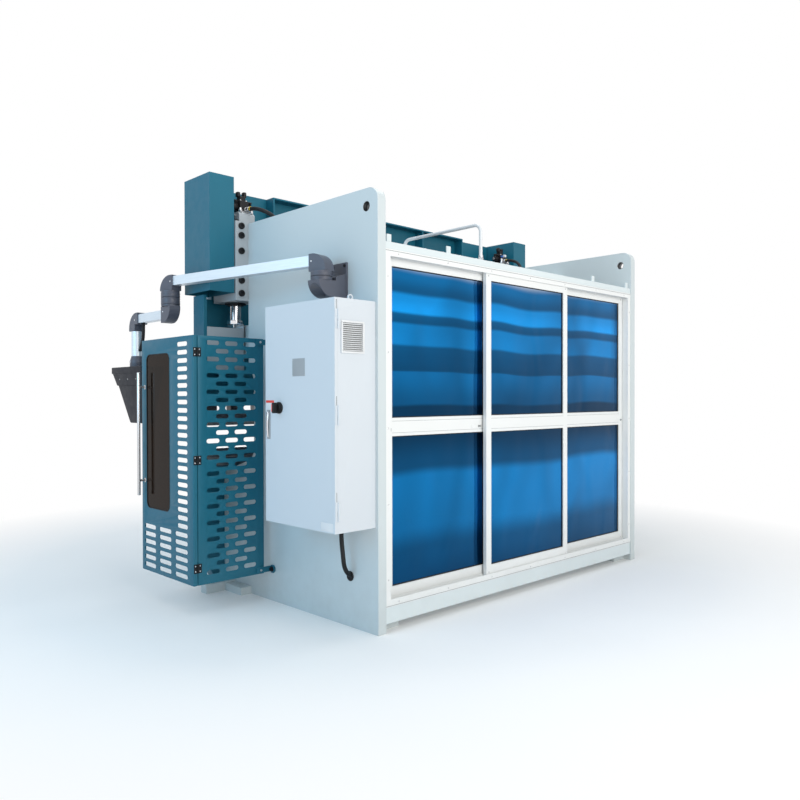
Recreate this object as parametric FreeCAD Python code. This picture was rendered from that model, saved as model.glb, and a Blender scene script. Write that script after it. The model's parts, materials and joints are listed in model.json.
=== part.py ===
import FreeCAD
import Part
import math
import os

V = FreeCAD.Vector

# A hydraulic press brake of about 100 t with a 3.2 m ram, in millimetres.
# X runs along the bending line, to the machine's right. +Y points to the rear. Z is up.
# The origin lies on the floor, under the bending line, midway between the side frames.

# Side frames
frame_width = 2780.0
side_plate_thickness = 60.0
side_plate_height = 2450.0
rear_edge = 1620.0
front_edge = 350.0
corner_radius = 75.0
throat_setback = 60.0
throat_bottom = 900.0
throat_top = 1420.0
throat_radius = 90.0
throat_slope = 110.0
lifting_hole_radius = 28.0
lifting_hole_inset = 92.0
lifting_hole_drop = 100.0
cable_hole_radius = 24.0
cable_hole_inset = 234.0
cable_hole_height = 289.0

# Feet
foot_length = 170.0
foot_width = 150.0
foot_thickness = 28.0
foot_from_rear = 60.0
foot_from_front = 30.0
gusset_side = 120.0
gusset_thickness = 15.0
anchor_hole_radius = 13.0
outer_pad_reach = 80.0
outer_pad_length = 195.0
outer_pad_rear = 25.0
outer_pad_height = 50.0
outrigger_reach = 222.0
outrigger_width = 70.0
outrigger_height = 60.0

# Bed and lower tool
bed_overhang = 210.0
bed_thickness = 80.0
table_height = 830.0
bed_end_relief = 160.0
bed_relief_height = 330.0
table_rail_width = 100.0
table_rail_height = 60.0
die_width = 60.0
die_height = 60.0
vee_opening = 16.0

# Ram and upper tool
stroke = 150.0
closed_gap = 6.0
ram_overhang = 193.0
ram_thickness = 60.0
ram_top = 2735.0
ram_neck_gap = 12.0
ram_shoulder_gap = 15.0
ram_column_overhang = 260.0
ram_column_thickness = 25.0
ram_column_setback = 62.0
ram_column_depth = 133.0
channel_inset = 360.0
channel_depth = 90.0
channel_height = 190.0
channel_plate = 12.0
channel_rib_count = 3
push_block_inset = 15.0
push_block_corner = 45.0
push_block_height = 290.0
clamp_count = 16
clamp_height = 60.0
clamp_width = 90.0
clamp_nose = 26.0
clamp_bevel = 20.0
punch_height = 90.0
punch_thickness = 26.0
punch_tip = 4.0
punch_taper = 24.0
guide_gap = 5.0
guide_width = 60.0
guide_height = 220.0
guide_raise = 40.0
guide_overlap = 60.0

# Cylinders
rod_radius = 40.0
rod_inset = 2.0
rod_from_front = 117.0
rod_running_gap = 0.05
rod_exposed = 118.0
rod_end_radius = 56.0
rod_end_height = 26.0
rod_seat_side = 80.0
rod_seat_height = 28.0
rod_top_room = 60.0
cylinder_outstand = 96.0
cylinder_width = 196.0
cylinder_depth = 280.0
cylinder_bottom = 1937.0
cylinder_height = 521.0
cylinder_bore_depth = 420.0
manifold_width = 120.0
manifold_depth = 150.0
manifold_height = 70.0
manifold_from_rear = 16.0
valve_body_width = 62.0
valve_body_depth = 78.0
valve_body_height = 84.0
coil_side = 48.0
coil_length = 62.0
pilot_height = 66.0
pilot_side = 40.0
cover_gap = 6.0
cover_width = 180.0
cover_depth = 325.0
cover_setback = 8.0
cover_raise = 48.0
cover_height = 755.0
cover_sheet = 3.0
cover_pad_side = 60.0
cover_pad_inset = 90.0

# Cross members behind
beam_depth = 100.0
beam_recess = 7.0
top_bar_height = 40.0
top_web_height = 240.0
beam_wall = 12.0
bottom_beam_height = 91.0
tab_width = 34.0
tab_height = 44.0
tab_thickness = 10.0
tab_from_rear = 8.0
tab_insets = (530.0, 40.0)
tank_front = 560.0
tank_depth = 420.0
tank_bottom = 1900.0
tank_height = 430.0
tank_wall = 8.0
tank_lid_lip = 20.0

# Rear fence with sliding doors
fence_bottom = 140.0
fence_top = 2117.0
fence_recess = 4.0
fence_jamb = 40.0
top_rail_height = 38.0
bottom_rail_height = 41.0
rail_floor = 10.0
rail_lip = 4.0
track_rib = 3.0
door_width = 907.0
door_depth = 26.0
door_gap = 5.0
door_stile = 50.0
door_head = 63.0
door_middle_rail = 104.0
door_middle_rail_bottom = 1080.0
door_foot = 77.0
door_lift = 8.0
film_thickness = 4.0
roller_radius = 14.0
roller_width = 10.0
roller_inset = 120.0
pull_width = 90.0
pull_height = 25.0
pull_depth = 3.0
pull_rise = 40.0
near_pull_inset = 132.0
far_pull_inset = 50.0

# Electrical cabinet on the right side frame
cabinet_front = 970.0
cabinet_rear = 1600.0
cabinet_depth = 265.0
cabinet_bottom = 588.0
cabinet_headroom = 38.0
cabinet_sheet = 2.5
cabinet_door_depth = 20.0
cabinet_door_gap = 0.5
cabinet_hinge_from_bottom = 116.0
cabinet_hinge_from_top = 110.0
cabinet_hinge_height = 100.0
cabinet_hinge_leaf = 20.0
door_hinge_leaf = 18.0
knob_radius = 33.0
knob_thickness = 12.0
knob_grip_width = 20.0
knob_grip_length = 60.0
knob_grip_reach = 38.0
knob_from_front = 137.0
knob_from_top = 579.0
swing_handle_width = 28.0
swing_handle_length = 166.0
swing_handle_depth = 18.0
swing_handle_from_front = 20.0
swing_handle_drop = 46.0
vent_width = 160.0
vent_height = 172.0
vent_frame = 10.0
vent_depth = 9.0
vent_slats = 14
vent_slat_thickness = 2.0
vent_from_top = 203.0
vent_from_door = 20.0
lifting_eye_radius = 17.0
lifting_eye_hole = 10.0
lifting_eye_thickness = 8.0
lifting_eye_from_rear = 60.0

# Side guards
guard_inner = 50.0
guard_outstand = 544.0
guard_rear_y = 600.0
guard_depth = 673.0
guard_bottom = 182.0
guard_top = 1670.0
guard_sheet = 3.0
guard_flange = 25.0
guard_door_return = 22.0
guard_door_gap = 8.0
window_from_front = 70.0
window_width = 308.0
window_from_bottom = 410.0
window_height = 983.0
window_radius = 40.0
window_sheet = 5.0
window_overlap = 20.0
slot_height = 27.0
rear_slot_length = 88.0
rear_slot_pitch = 128.5
rear_slot_inset = 102.0
rear_slot_rows = 29
rear_slot_rise = 49.3
rear_slot_from_top = 40.0
door_slot_length = 124.0
door_slot_from_rear = 133.0
door_slot_rows = 23
door_slot_rise = 50.0
door_slot_from_top = 47.0
low_slot_from_rear = 149.0
low_slot_length = 152.0
low_slot_pitch = 205.0
low_slot_columns = 3
low_slot_rows = 6
low_slot_rise = 49.6
low_slot_from_bottom = 41.0
handle_radius = 11.0
handle_standoff = 45.0
handle_from_front = 50.0
handle_from_bottom = 488.0
handle_length = 792.0
handle_foot_inset = 95.0
handle_foot_side = 16.0
guard_hinge_places = (102.0, 745.0, 1388.0)
guard_hinge_height = 54.0
guard_hinge_leaf = 25.0
hinge_pin_radius = 5.0
hinge_leaf_thickness = 3.0
bracket_bar_height = 35.0
bracket_bar_thickness = 8.0
bracket_bar_overlap = 60.0
bracket_lug_radius = 27.0
bracket_lug_thickness = 10.0
bracket_low = 24.0
bracket_high = 22.0

# Pendant arm and operator console
wall_plate_width = 130.0
wall_plate_height = 182.0
wall_plate_thickness = 12.0
wall_plate_from_pivot = 74.0
arm_pivot_reach = 145.0
arm_pivot_y = 1314.0
arm_tube_side = 60.0
arm_tube_wall = 3.0
first_arm_height = 2062.0
first_arm_length = 1318.0
first_arm_turn = 10.5
second_arm_drop = 212.0
second_arm_length = 498.0
elbow_radius = 60.0
elbow_wall = 8.0
elbow_back = 60.0
elbow_socket = 62.0
elbow_bend = 97.0
elbow_crown = 38.0
elbow_base = 61.0
lower_elbow_crown = 56.0
lower_elbow_base = 50.0
wall_drum_height = 30.0
cup_height = 20.0
cup_depth = 113.0
cup_bend = 90.0
seat_overhang = 4.0
seat_clearance = 2.0
web_thickness = 104.0
web_rise = 30.0
last_elbow_back = 48.0
last_elbow_crown = 43.0
last_elbow_foot = 83.0
last_elbow_socket = 84.0
last_elbow_throat = 40.0
last_elbow_bend = 110.0
drop_tube_radius = 38.0
drop_tube_length = 176.0
console_neck_radius = 50.0
console_neck_height = 75.0
console_height = 396.0
console_width_top = 480.0
console_width_bottom = 190.0
console_depth = 170.0
console_rim = 46.0
screen_width = 300.0
screen_height = 180.0
screen_recess = 4.0

# Back gauge
gauge_rail_inset = 330.0
gauge_rail_width = 90.0
gauge_rail_height = 70.0
gauge_rail_bottom = 575.0
gauge_rail_length = 1010.0
gauge_beam_y = 700.0
gauge_beam_side = 70.0
gauge_beam_wall = 6.0
gauge_beam_overhang = 60.0
gauge_post_low = 100.0
gauge_post_high = 225.0
gauge_post_thickness = 16.0
gauge_runner_height = 5.0
gauge_runner_width = 70.0
gauge_runner_length = 120.0
gauge_finger_x = 420.0
gauge_finger_reach = 300.0
gauge_finger_rise = 15.0
gauge_finger_width = 40.0
gauge_finger_thickness = 35.0
gauge_riser_width = 70.0
gauge_riser_depth = 80.0

turning_gap = 0.3

# Pipe, hoses and cables
pipe_radius = 11.0
pipe_bend = 50.0
pipe_x = 460.0
pipe_from_lid_rear = 120.0
pipe_height = 2392.0
pipe_from_beam_rear = 45.0
hose_radius = 13.0
# Route of the hose: outwards from the cylinder's middle, rearwards from the valve, up from the tank's lid
hose_route = (
    (-14.0, 0.0, 222.0),
    (-14.0, 80.0, 222.0),
    (-26.0, 160.0, 200.0),
    (-62.0, 232.0, 160.0),
    (-98.0, 284.0, 96.0),
    (-106.5, 301.0, -6.0),
)
conduit_radius = 13.0
# Route of the conduit: outwards from the side frame, rearwards and up from its cable hole
conduit_route = (
    (70.0, 4.0, 299.0),
    (70.0, 4.0, 219.0),
    (70.0, 18.0, 136.0),
    (68.0, 26.0, 59.0),
    (11.0, 8.0, 0.0),
    (-64.0, 0.0, 0.0),
)
console_cable_radius = 12.0
# Route of the console's cable: rearwards from the drop tube, up from the second arm's underside
console_cable_route = (
    (100.0, 0.0),
    (100.0, -58.0),
    (93.0, -116.0),
    (62.0, -164.0),
    (47.8, -190.0),
)
run_share = 0.45

# Worked out from the driving dimensions
half_width = frame_width / 2
inner_face = half_width - side_plate_thickness
throat_y = front_edge + throat_setback
bed_half = half_width + bed_overhang
bed_rear = bed_thickness / 2
table_top = table_height + table_rail_height
die_top = table_top + die_height
ram_half = half_width + ram_overhang
ram_rear = ram_thickness / 2
punch_top = die_top + closed_gap + stroke + punch_height
ram_bottom = punch_top + clamp_height
column_outside_x = half_width + ram_column_overhang
column_front = ram_rear + ram_column_setback
column_rear = column_front + ram_column_depth
cylinder_outside_x = half_width + cylinder_outstand
cylinder_front = front_edge - cylinder_depth
cylinder_top = cylinder_bottom + cylinder_height
rod_x = half_width - rod_inset
rod_y = cylinder_front + rod_from_front
push_block_top = cylinder_bottom - rod_exposed - rod_end_height - rod_seat_height
cover_inner_x = cylinder_outside_x + cover_gap
cover_bottom = cylinder_bottom + cover_raise
cover_rear = front_edge - cover_setback
ram_neck_half = cover_inner_x - ram_neck_gap
ram_shoulder = cover_bottom - ram_shoulder_gap
channel_half = inner_face - channel_inset + side_plate_thickness
beam_rear = rear_edge - beam_recess
fence_face = rear_edge - fence_recess
fence_depth = 2 * (rail_lip + door_depth) + 4 * door_gap + track_rib
outer_track = fence_face - rail_lip - door_gap
inner_track = outer_track - door_depth - 2 * door_gap - track_rib
track_floor = fence_bottom + rail_floor
door_bottom = track_floor + door_lift
door_top = fence_top - rail_floor - door_lift
jamb_face = inner_face - fence_jamb
cabinet_face = half_width + cabinet_depth
cabinet_skin = cabinet_face + cabinet_door_gap + cabinet_door_depth
hinge_offset = hinge_pin_radius + turning_gap
guard_outer_x = half_width + guard_outstand
guard_door_inner = guard_outer_x - guard_door_return
guard_panel_outer = guard_door_inner - guard_door_gap
guard_panel_inner = half_width + guard_inner
guard_front_y = guard_rear_y - guard_depth
arm_pivot_x = half_width + arm_pivot_reach
second_arm_height = first_arm_height - second_arm_drop
turning_plane = first_arm_height - elbow_base - wall_drum_height
cabinet_top = turning_plane - cup_depth - cabinet_headroom
elbow_split = (first_arm_height + second_arm_height) / 2
drop_tube_top = second_arm_height - last_elbow_foot
drop_tube_bottom = drop_tube_top - drop_tube_length
console_top = drop_tube_bottom - console_neck_height
arm_angle = math.radians(first_arm_turn)
second_pivot_x = arm_pivot_x + first_arm_length * math.sin(arm_angle)
second_pivot_y = arm_pivot_y - first_arm_length * math.cos(arm_angle)
console_y = second_pivot_y - second_arm_length
gauge_rail_x = inner_face - gauge_rail_inset
gauge_rail_top = gauge_rail_bottom + gauge_rail_height
gauge_beam_bottom = gauge_rail_top + gauge_runner_height
gauge_beam_top = gauge_beam_bottom + gauge_beam_side
gauge_beam_half = gauge_rail_x + gauge_beam_overhang


def block(x0, x1, y0, y1, z0, z1):
    """A box, given its low and high end along each axis."""
    return Part.makeBox(x1 - x0, y1 - y0, z1 - z0, V(x0, y0, z0))


def rod(radius, start, end):
    """A round bar from one point to another."""
    a = V(*start)
    b = V(*end)
    return Part.makeCylinder(radius, (b - a).Length, a, b - a)


def prism_x(points, x0, x1):
    """An outline of (y, z) points, extruded along X."""
    wire = Part.makePolygon([V(x0, y, z) for y, z in points + points[:1]])
    return Part.Face(wire).extrude(V(x1 - x0, 0, 0))


def prism_y(points, y0, y1):
    """An outline of (x, z) points, extruded along Y."""
    wire = Part.makePolygon([V(x, y0, z) for x, z in points + points[:1]])
    return Part.Face(wire).extrude(V(0, y1 - y0, 0))


def edges_along(solid, axis, tolerance=0.01, **place):
    """The straight edges parallel to an axis that pass through the stated coordinates."""
    found = []
    for edge in solid.Edges:
        if len(edge.Vertexes) != 2:
            continue
        start = edge.Vertexes[0].Point
        run = edge.Vertexes[1].Point - start
        if abs(abs(getattr(run, axis)) - run.Length) > tolerance:
            continue
        if all(abs(getattr(start, key) - value) < tolerance for key, value in place.items()):
            found.append(edge)
    return found


def fused(pieces):
    """Several overlapping pieces as one solid without seams."""
    return pieces[0].multiFuse(pieces[1:]).removeSplitter()


def mirrored(shape):
    """The same piece on the other side of the machine's mid-plane."""
    return shape.mirror(V(0, 0, 0), V(1, 0, 0))


def both_sides(*shapes):
    """Pieces and their mirror images as one node."""
    return Part.makeCompound(list(shapes) + [mirrored(shape) for shape in shapes])


def save(name, shape):
    """Write one piece as STEP."""
    shape.exportStep(os.path.join("parts", name + ".step"))


def save_pair(name, shape):
    """Write a piece of the right side and its mirror image on the left."""
    save(name + "_right", shape)
    save(name + "_left", mirrored(shape))


def side_frame():
    """One side plate with its throat, rounded rear corner, lifting hole and cable hole."""
    outline = [
        (rear_edge, 0.0),
        (rear_edge, side_plate_height),
        (front_edge, side_plate_height),
        (front_edge, throat_top + throat_slope),
        (throat_y, throat_top),
        (throat_y, throat_bottom),
        (bed_rear, throat_bottom - throat_slope),
        (bed_rear, 0.0),
    ]
    plate = prism_x(outline, inner_face, half_width)
    plate = plate.makeFillet(corner_radius, edges_along(plate, "x", y=rear_edge, z=side_plate_height))
    inner = edges_along(plate, "x", y=throat_y, z=throat_top)
    inner += edges_along(plate, "x", y=throat_y, z=throat_bottom)
    plate = plate.makeFillet(throat_radius, inner)
    holes = [
        (lifting_hole_radius, rear_edge - lifting_hole_inset, side_plate_height - lifting_hole_drop),
        (cable_hole_radius, rear_edge - cable_hole_inset, cable_hole_height),
    ]
    for radius, y, z in holes:
        plate = plate.cut(rod(radius, (inner_face - 1, y, z), (half_width + 1, y, z)))
    return fused([plate, ram_guide()])


def anchor_foot(y):
    """An anchor pad with a gusset inside a side plate, from its front end, with one bolt hole."""
    x0 = inner_face - foot_width
    pad = block(x0, inner_face, y, y + foot_length, 0, foot_thickness)
    outline = [
        (inner_face, foot_thickness),
        (inner_face, foot_thickness + gusset_side),
        (inner_face - gusset_side, foot_thickness),
    ]
    gusset = prism_y(outline, y, y + gusset_thickness)
    x = inner_face - foot_width / 2
    hole_y = y + foot_length / 2
    hole = rod(anchor_hole_radius, (x, hole_y, -1), (x, hole_y, foot_thickness + 1))
    return fused([pad, gusset]).cut(hole)


def outer_foot():
    """The pad and outrigger that widen the stance under the side guard."""
    y1 = front_edge + outer_pad_rear
    y0 = y1 - outer_pad_length
    pad = block(half_width, half_width + outer_pad_reach, y0, y1, 0, outer_pad_height)
    arm = block(half_width, half_width + outrigger_reach, y0 - outrigger_width, y0, 0, outrigger_height)
    return fused([pad, arm])


def bed():
    """The bed plate, with its lower corners cut back and its ends past the side frames."""
    foot = bed_half - bed_end_relief
    outline = [
        (-foot, 0.0),
        (foot, 0.0),
        (bed_half, bed_relief_height),
        (bed_half, table_height),
        (-bed_half, table_height),
        (-bed_half, bed_relief_height),
    ]
    return prism_y(outline, -bed_rear, bed_rear)


def table_rail():
    """The rail along the table that the die sits on."""
    w = table_rail_width / 2
    return block(-bed_half, bed_half, -w, w, table_height, table_top)


def die():
    """The die with its right-angled vee."""
    w = die_width / 2
    v = vee_opening / 2
    outline = [
        (-w, table_top),
        (w, table_top),
        (w, die_top),
        (v, die_top),
        (0.0, die_top - v),
        (-v, die_top),
        (-w, die_top),
    ]
    return prism_x(outline, -bed_half, bed_half)


def ram_plate():
    """The ram: full length below its shoulders, narrower between the cylinder covers above them."""
    outline = [
        (-ram_half, ram_bottom),
        (ram_half, ram_bottom),
        (ram_half, ram_shoulder),
        (ram_neck_half, ram_shoulder),
        (ram_neck_half, ram_top),
        (-ram_neck_half, ram_top),
        (-ram_neck_half, ram_shoulder),
        (-ram_half, ram_shoulder),
    ]
    return prism_y(outline, -ram_rear, ram_rear)


def ram_channel():
    """The stiffening channel behind the top of the ram: two flanges, end plates and ribs."""
    y1 = ram_rear + channel_depth
    z0 = ram_top - channel_height
    t = channel_plate
    plates = [
        block(-channel_half, channel_half, ram_rear, y1, ram_top - t, ram_top),
        block(-channel_half, channel_half, ram_rear, y1, z0, z0 + t),
    ]
    step = (2 * channel_half - t) / (channel_rib_count + 1)
    for i in range(channel_rib_count + 2):
        x = -channel_half + i * step
        plates.append(block(x, x + t, ram_rear, y1, z0, ram_top))
    return fused(plates)


def ram_column():
    """The upright plate on the end of the push block, behind the ram."""
    x0 = column_outside_x - ram_column_thickness
    return block(x0, column_outside_x, column_front, column_rear, ram_bottom, ram_shoulder)


def push_block():
    """The block behind the ram that the piston rod pushes on, with its front outer corner cut off."""
    x0 = inner_face + push_block_inset
    x1 = column_outside_x - ram_column_thickness
    z0 = push_block_top - push_block_height
    body = block(x0, x1, ram_rear, column_rear, z0, push_block_top)
    return body.makeChamfer(push_block_corner, edges_along(body, "z", x=x1, y=ram_rear))


def ram_guide():
    """The gib on a side frame's front edge that keeps the ram upright."""
    y0 = ram_rear + guide_gap
    y1 = front_edge + guide_overlap
    z0 = throat_top + throat_slope + guide_raise
    z1 = z0 + guide_height
    return block(inner_face - guide_width, inner_face, y0, y1, z0, z1)


def piston_rod():
    """The chromed rod with its end flange on a square seat."""
    h = rod_seat_side / 2
    z1 = push_block_top + rod_seat_height
    z2 = z1 + rod_end_height
    z3 = cylinder_bottom + cylinder_bore_depth - rod_top_room
    seat = block(rod_x - h, rod_x + h, rod_y - h, rod_y + h, push_block_top, z1)
    flange = eight_sided(rod_end_radius, rod_x, rod_y, z1, z2)
    shaft = rod(rod_radius, (rod_x, rod_y, z2), (rod_x, rod_y, z3))
    return fused([seat, flange, shaft])


def cylinder_block():
    """The cylinder body, bolted to the front edge of its side frame."""
    x0 = cylinder_outside_x - cylinder_width
    body = block(x0, cylinder_outside_x, cylinder_front, front_edge, cylinder_bottom, cylinder_top)
    low = (rod_x, rod_y, cylinder_bottom - 1)
    high = (rod_x, rod_y, cylinder_bottom + cylinder_bore_depth)
    return fused([body, manifold()]).cut(rod(rod_radius + rod_running_gap, low, high))


def manifold_rear():
    """Where the rear side of the manifold lies."""
    return front_edge - manifold_from_rear


def manifold():
    """The oil manifold on top of the cylinder, with a bevelled upper rear edge."""
    w = manifold_width / 2
    y1 = manifold_rear()
    z1 = cylinder_top + manifold_height
    body = block(rod_x - w, rod_x + w, y1 - manifold_depth, y1, cylinder_top, z1)
    return body.makeChamfer(manifold_from_rear, edges_along(body, "x", y=y1, z=z1))


def valves():
    """The proportional valve on the manifold, with a coil at either end and a pilot on top."""
    yc = manifold_rear() - manifold_depth / 2
    z0 = cylinder_top + manifold_height
    z1 = z0 + valve_body_height
    w = valve_body_width / 2
    d = valve_body_depth / 2
    c = coil_side / 2
    p = pilot_side / 2
    zc = z0 + valve_body_height / 2
    body = block(rod_x - w, rod_x + w, yc - d, yc + d, z0, z1)
    coils = block(rod_x - w - coil_length, rod_x + w + coil_length, yc - c, yc + c, zc - c, zc + c)
    coils = coils.makeChamfer(c / 4, edges_along(coils, "x"))
    pilot = block(rod_x - p, rod_x + p, yc - p, yc + p, z1, z1 + pilot_height)
    return fused([body, coils, pilot])


def cylinder_cover():
    """The sheet cover outside the cylinder, open below, on two pads."""
    x0 = cover_inner_x
    x1 = x0 + cover_width
    y0 = cover_rear - cover_depth
    z1 = cover_bottom + cover_height
    t = cover_sheet
    shell = block(x0, x1, y0, cover_rear, cover_bottom, z1)
    shell = shell.cut(block(x0 + t, x1 - t, y0 + t, cover_rear - t, cover_bottom - 1, z1 - t))
    h = cover_pad_side / 2
    pads = []
    for z in (cover_bottom + cover_pad_inset, cylinder_top - cover_pad_inset):
        pads.append(block(cylinder_outside_x, x0, rod_y - h, rod_y + h, z - h, z + h))
    return fused([shell] + pads)


def top_beam():
    """The upper rear cross member: a bar on the fence with a web down in front of it, and four tabs."""
    y0 = beam_rear - beam_depth
    z1 = fence_top + top_bar_height
    z0 = z1 - top_web_height
    outline = [
        (y0, z0),
        (y0 + beam_wall, z0),
        (y0 + beam_wall, fence_top),
        (beam_rear, fence_top),
        (beam_rear, z1),
        (y0, z1),
    ]
    pieces = [prism_x(outline, -inner_face, inner_face)]
    y1 = beam_rear - tab_from_rear
    for inset in tab_insets:
        for x in (inner_face - inset, inset - inner_face):
            x0 = x - tab_width / 2
            pieces.append(block(x0, x0 + tab_width, y1 - tab_thickness, y1, z1, z1 + tab_height))
    return fused(pieces)


def bottom_beam():
    """The lower rear cross member that the fence stands on: a channel open to the front."""
    y0 = beam_rear - beam_depth
    z1 = fence_bottom
    z0 = z1 - bottom_beam_height
    t = beam_wall
    outline = [
        (y0, z0),
        (beam_rear, z0),
        (beam_rear, z1),
        (y0, z1),
        (y0, z1 - t),
        (beam_rear - t, z1 - t),
        (beam_rear - t, z0 + t),
        (y0, z0 + t),
    ]
    return prism_x(outline, -inner_face, inner_face)


def oil_tank():
    """The oil tank between the side frames, with a lid that overlaps its rear and front."""
    y0 = tank_front
    y1 = tank_front + tank_depth
    z1 = tank_bottom + tank_height
    t = tank_wall
    shell = block(-inner_face, inner_face, y0, y1, tank_bottom, z1 - t)
    shell = shell.cut(block(t - inner_face, inner_face - t, y0 + t, y1 - t, tank_bottom + t, z1))
    lid = block(-inner_face, inner_face, y0 - tank_lid_lip, y1 + tank_lid_lip, z1 - t, z1)
    return fused([shell, lid])


def track_outline(base, lips):
    """The rail section, from the height of its base to that of its three lips, which part two tracks."""
    y1 = fence_face
    y0 = y1 - fence_depth
    rib0 = inner_track + door_gap
    rib1 = rib0 + track_rib
    floor = base + math.copysign(rail_floor, lips - base)
    return [
        (y0, base),
        (y1, base),
        (y1, lips),
        (y1 - rail_lip, lips),
        (y1 - rail_lip, floor),
        (rib1, floor),
        (rib1, lips),
        (rib0, lips),
        (rib0, floor),
        (y0 + rail_lip, floor),
        (y0 + rail_lip, lips),
        (y0, lips),
    ]


def fence_frame():
    """The aluminium frame of the rear fence: two-track rails above and below, and plain jambs."""
    z0 = fence_bottom
    z1 = fence_top
    lower = prism_x(track_outline(z0, z0 + bottom_rail_height), -inner_face, inner_face)
    upper = prism_x(track_outline(z1, z1 - top_rail_height), -inner_face, inner_face)
    jamb = block(jamb_face, inner_face, fence_face - fence_depth, fence_face, z0, z1)
    return fused([lower, upper, jamb, mirrored(jamb)])


def door_openings(x0):
    """The low and high corners (x, z) of a door's two sheets, from its left edge."""
    xa = x0 + door_stile
    xb = x0 + door_width - door_stile
    rail_top = door_middle_rail_bottom + door_middle_rail
    return [
        (xa, xb, door_bottom + door_foot, door_middle_rail_bottom),
        (xa, xb, rail_top, door_top - door_head),
    ]


def door_frame(x0, y1, pull_x):
    """A sliding door's frame with its two rollers and its pull, from its left edge and rear face."""
    yc = y1 - door_depth / 2
    frame = block(x0, x0 + door_width, y1 - door_depth, y1, door_bottom, door_top)
    for xa, xb, za, zb in door_openings(x0):
        frame = frame.cut(block(xa, xb, y1 - door_depth - 1, y1 + 1, za, zb))
    pieces = [frame]
    z = track_floor + roller_radius + turning_gap
    w = roller_width / 2
    for x in (x0 + roller_inset, x0 + door_width - roller_inset):
        pieces.append(rod(roller_radius, (x, yc - w, z), (x, yc + w, z)))
    if pull_x is not None:
        z = door_middle_rail_bottom + pull_rise
        half = pull_width / 2
        h = pull_height / 2
        pieces.append(block(pull_x - half, pull_x + half, y1, y1 + pull_depth, z - h, z + h))
    return fused(pieces)


def door_film(x0, y1):
    """The two tinted sheets of one sliding door."""
    yc = y1 - door_depth / 2
    h = film_thickness / 2
    return Part.makeCompound([block(xa, xb, yc - h, yc + h, za, zb) for xa, xb, za, zb in door_openings(x0)])


def polygon(radius, u, v, sides=8):
    """The corners of a regular polygon, on a radius round (u, v)."""
    corners = []
    for i in range(sides):
        turn = math.radians((i + 0.5) * 360.0 / sides)
        corners.append((u + radius * math.cos(turn), v + radius * math.sin(turn)))
    return corners


def eight_sided(radius, x, y, z0, z1):
    """An upright bar with eight sides."""
    corners = polygon(radius, x, y)
    wire = Part.makePolygon([V(a, b, z0) for a, b in corners + corners[:1]])
    return Part.Face(wire).extrude(V(0, 0, z1 - z0))


def eight_sided_x(radius, x0, x1, y, z):
    """A bar along X with eight sides."""
    return prism_x(polygon(radius, y, z), x0, x1)


def hinge(x, face_y, z, height, fixed_leaf, turning_leaf):
    """A lift-off hinge on a wall that faces the rear: the fixed half below, the turning half above.

    The fixed leaf runs towards the mid-plane from the pin, the turning leaf away from it.
    """
    r = hinge_pin_radius
    g = turning_gap
    y = face_y + hinge_offset
    low = z - height / 2
    high = z + height / 2
    t = face_y + hinge_leaf_thickness
    fixed = [
        eight_sided(r, x, y, low, z - g / 2),
        block(x - fixed_leaf, x - hinge_offset, face_y, t, low, high),
        block(x - hinge_offset, x, face_y, t, low, z - g / 2),
    ]
    turning = [
        eight_sided(r, x, y, z + g / 2, high),
        block(x + hinge_offset, x + turning_leaf, face_y, t, low, high),
        block(x, x + hinge_offset, face_y, t, z + g / 2, high),
    ]
    return fused(fixed), fused(turning)


def cabinet_hinges():
    """The cabinet's three hinges on its rear side, as (fixed, turning) pairs."""
    x = cabinet_face + cabinet_door_gap / 2
    low = cabinet_bottom + cabinet_hinge_from_bottom
    high = cabinet_top - cabinet_hinge_from_top
    pairs = []
    for z in (low, (low + high) / 2, high):
        pairs.append(hinge(x, cabinet_rear, z, cabinet_hinge_height, cabinet_hinge_leaf, door_hinge_leaf))
    return pairs


def guard_hinges():
    """The guard's three hinges on its rear side, as (fixed, turning) pairs."""
    x = guard_door_inner - guard_door_gap / 2
    return [
        hinge(x, guard_rear_y, guard_bottom + place, guard_hinge_height, guard_hinge_leaf, guard_hinge_leaf)
        for place in guard_hinge_places
    ]


def cabinet_body():
    """The cabinet's folded box, open towards its door, with the vent's cut-out and a lifting eye."""
    t = cabinet_sheet
    body = block(half_width, cabinet_face, cabinet_front, cabinet_rear, cabinet_bottom, cabinet_top)
    inside = block(
        half_width + t,
        cabinet_face + 1,
        cabinet_front + t,
        cabinet_rear - t,
        cabinet_bottom + t,
        cabinet_top - t,
    )
    x0, x1, z0, z1 = vent_place()
    f = vent_frame
    window = block(x0 + f, x1 - f, cabinet_rear - t - 1, cabinet_rear + 1, z0 + f, z1 - f)
    body = body.cut(inside).cut(window)
    return fused([body, lifting_eye()] + [fixed for fixed, turning in cabinet_hinges()])


def lifting_eye():
    """The upright lifting lug on the cabinet's roof."""
    r = lifting_eye_radius
    x = half_width + cabinet_depth / 2
    y0 = cabinet_rear - lifting_eye_from_rear
    y1 = y0 + lifting_eye_thickness
    z = cabinet_top + r
    lug = fused([block(x - r, x + r, y0, y1, cabinet_top, z), rod(r, (x, y0, z), (x, y1, z))])
    return lug.cut(rod(lifting_eye_hole, (x, y0 - 1, z), (x, y1 + 1, z)))


def cabinet_door():
    """The cabinet's door, a folded pan with its open side inwards."""
    t = cabinet_sheet
    x0 = cabinet_face + cabinet_door_gap
    pan = block(x0, cabinet_skin, cabinet_front, cabinet_rear, cabinet_bottom, cabinet_top)
    hollow = block(
        x0 - 1,
        cabinet_skin - t,
        cabinet_front + t,
        cabinet_rear - t,
        cabinet_bottom + t,
        cabinet_top - t,
    )
    return fused([pan.cut(hollow)] + [turning for fixed, turning in cabinet_hinges()])


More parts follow.
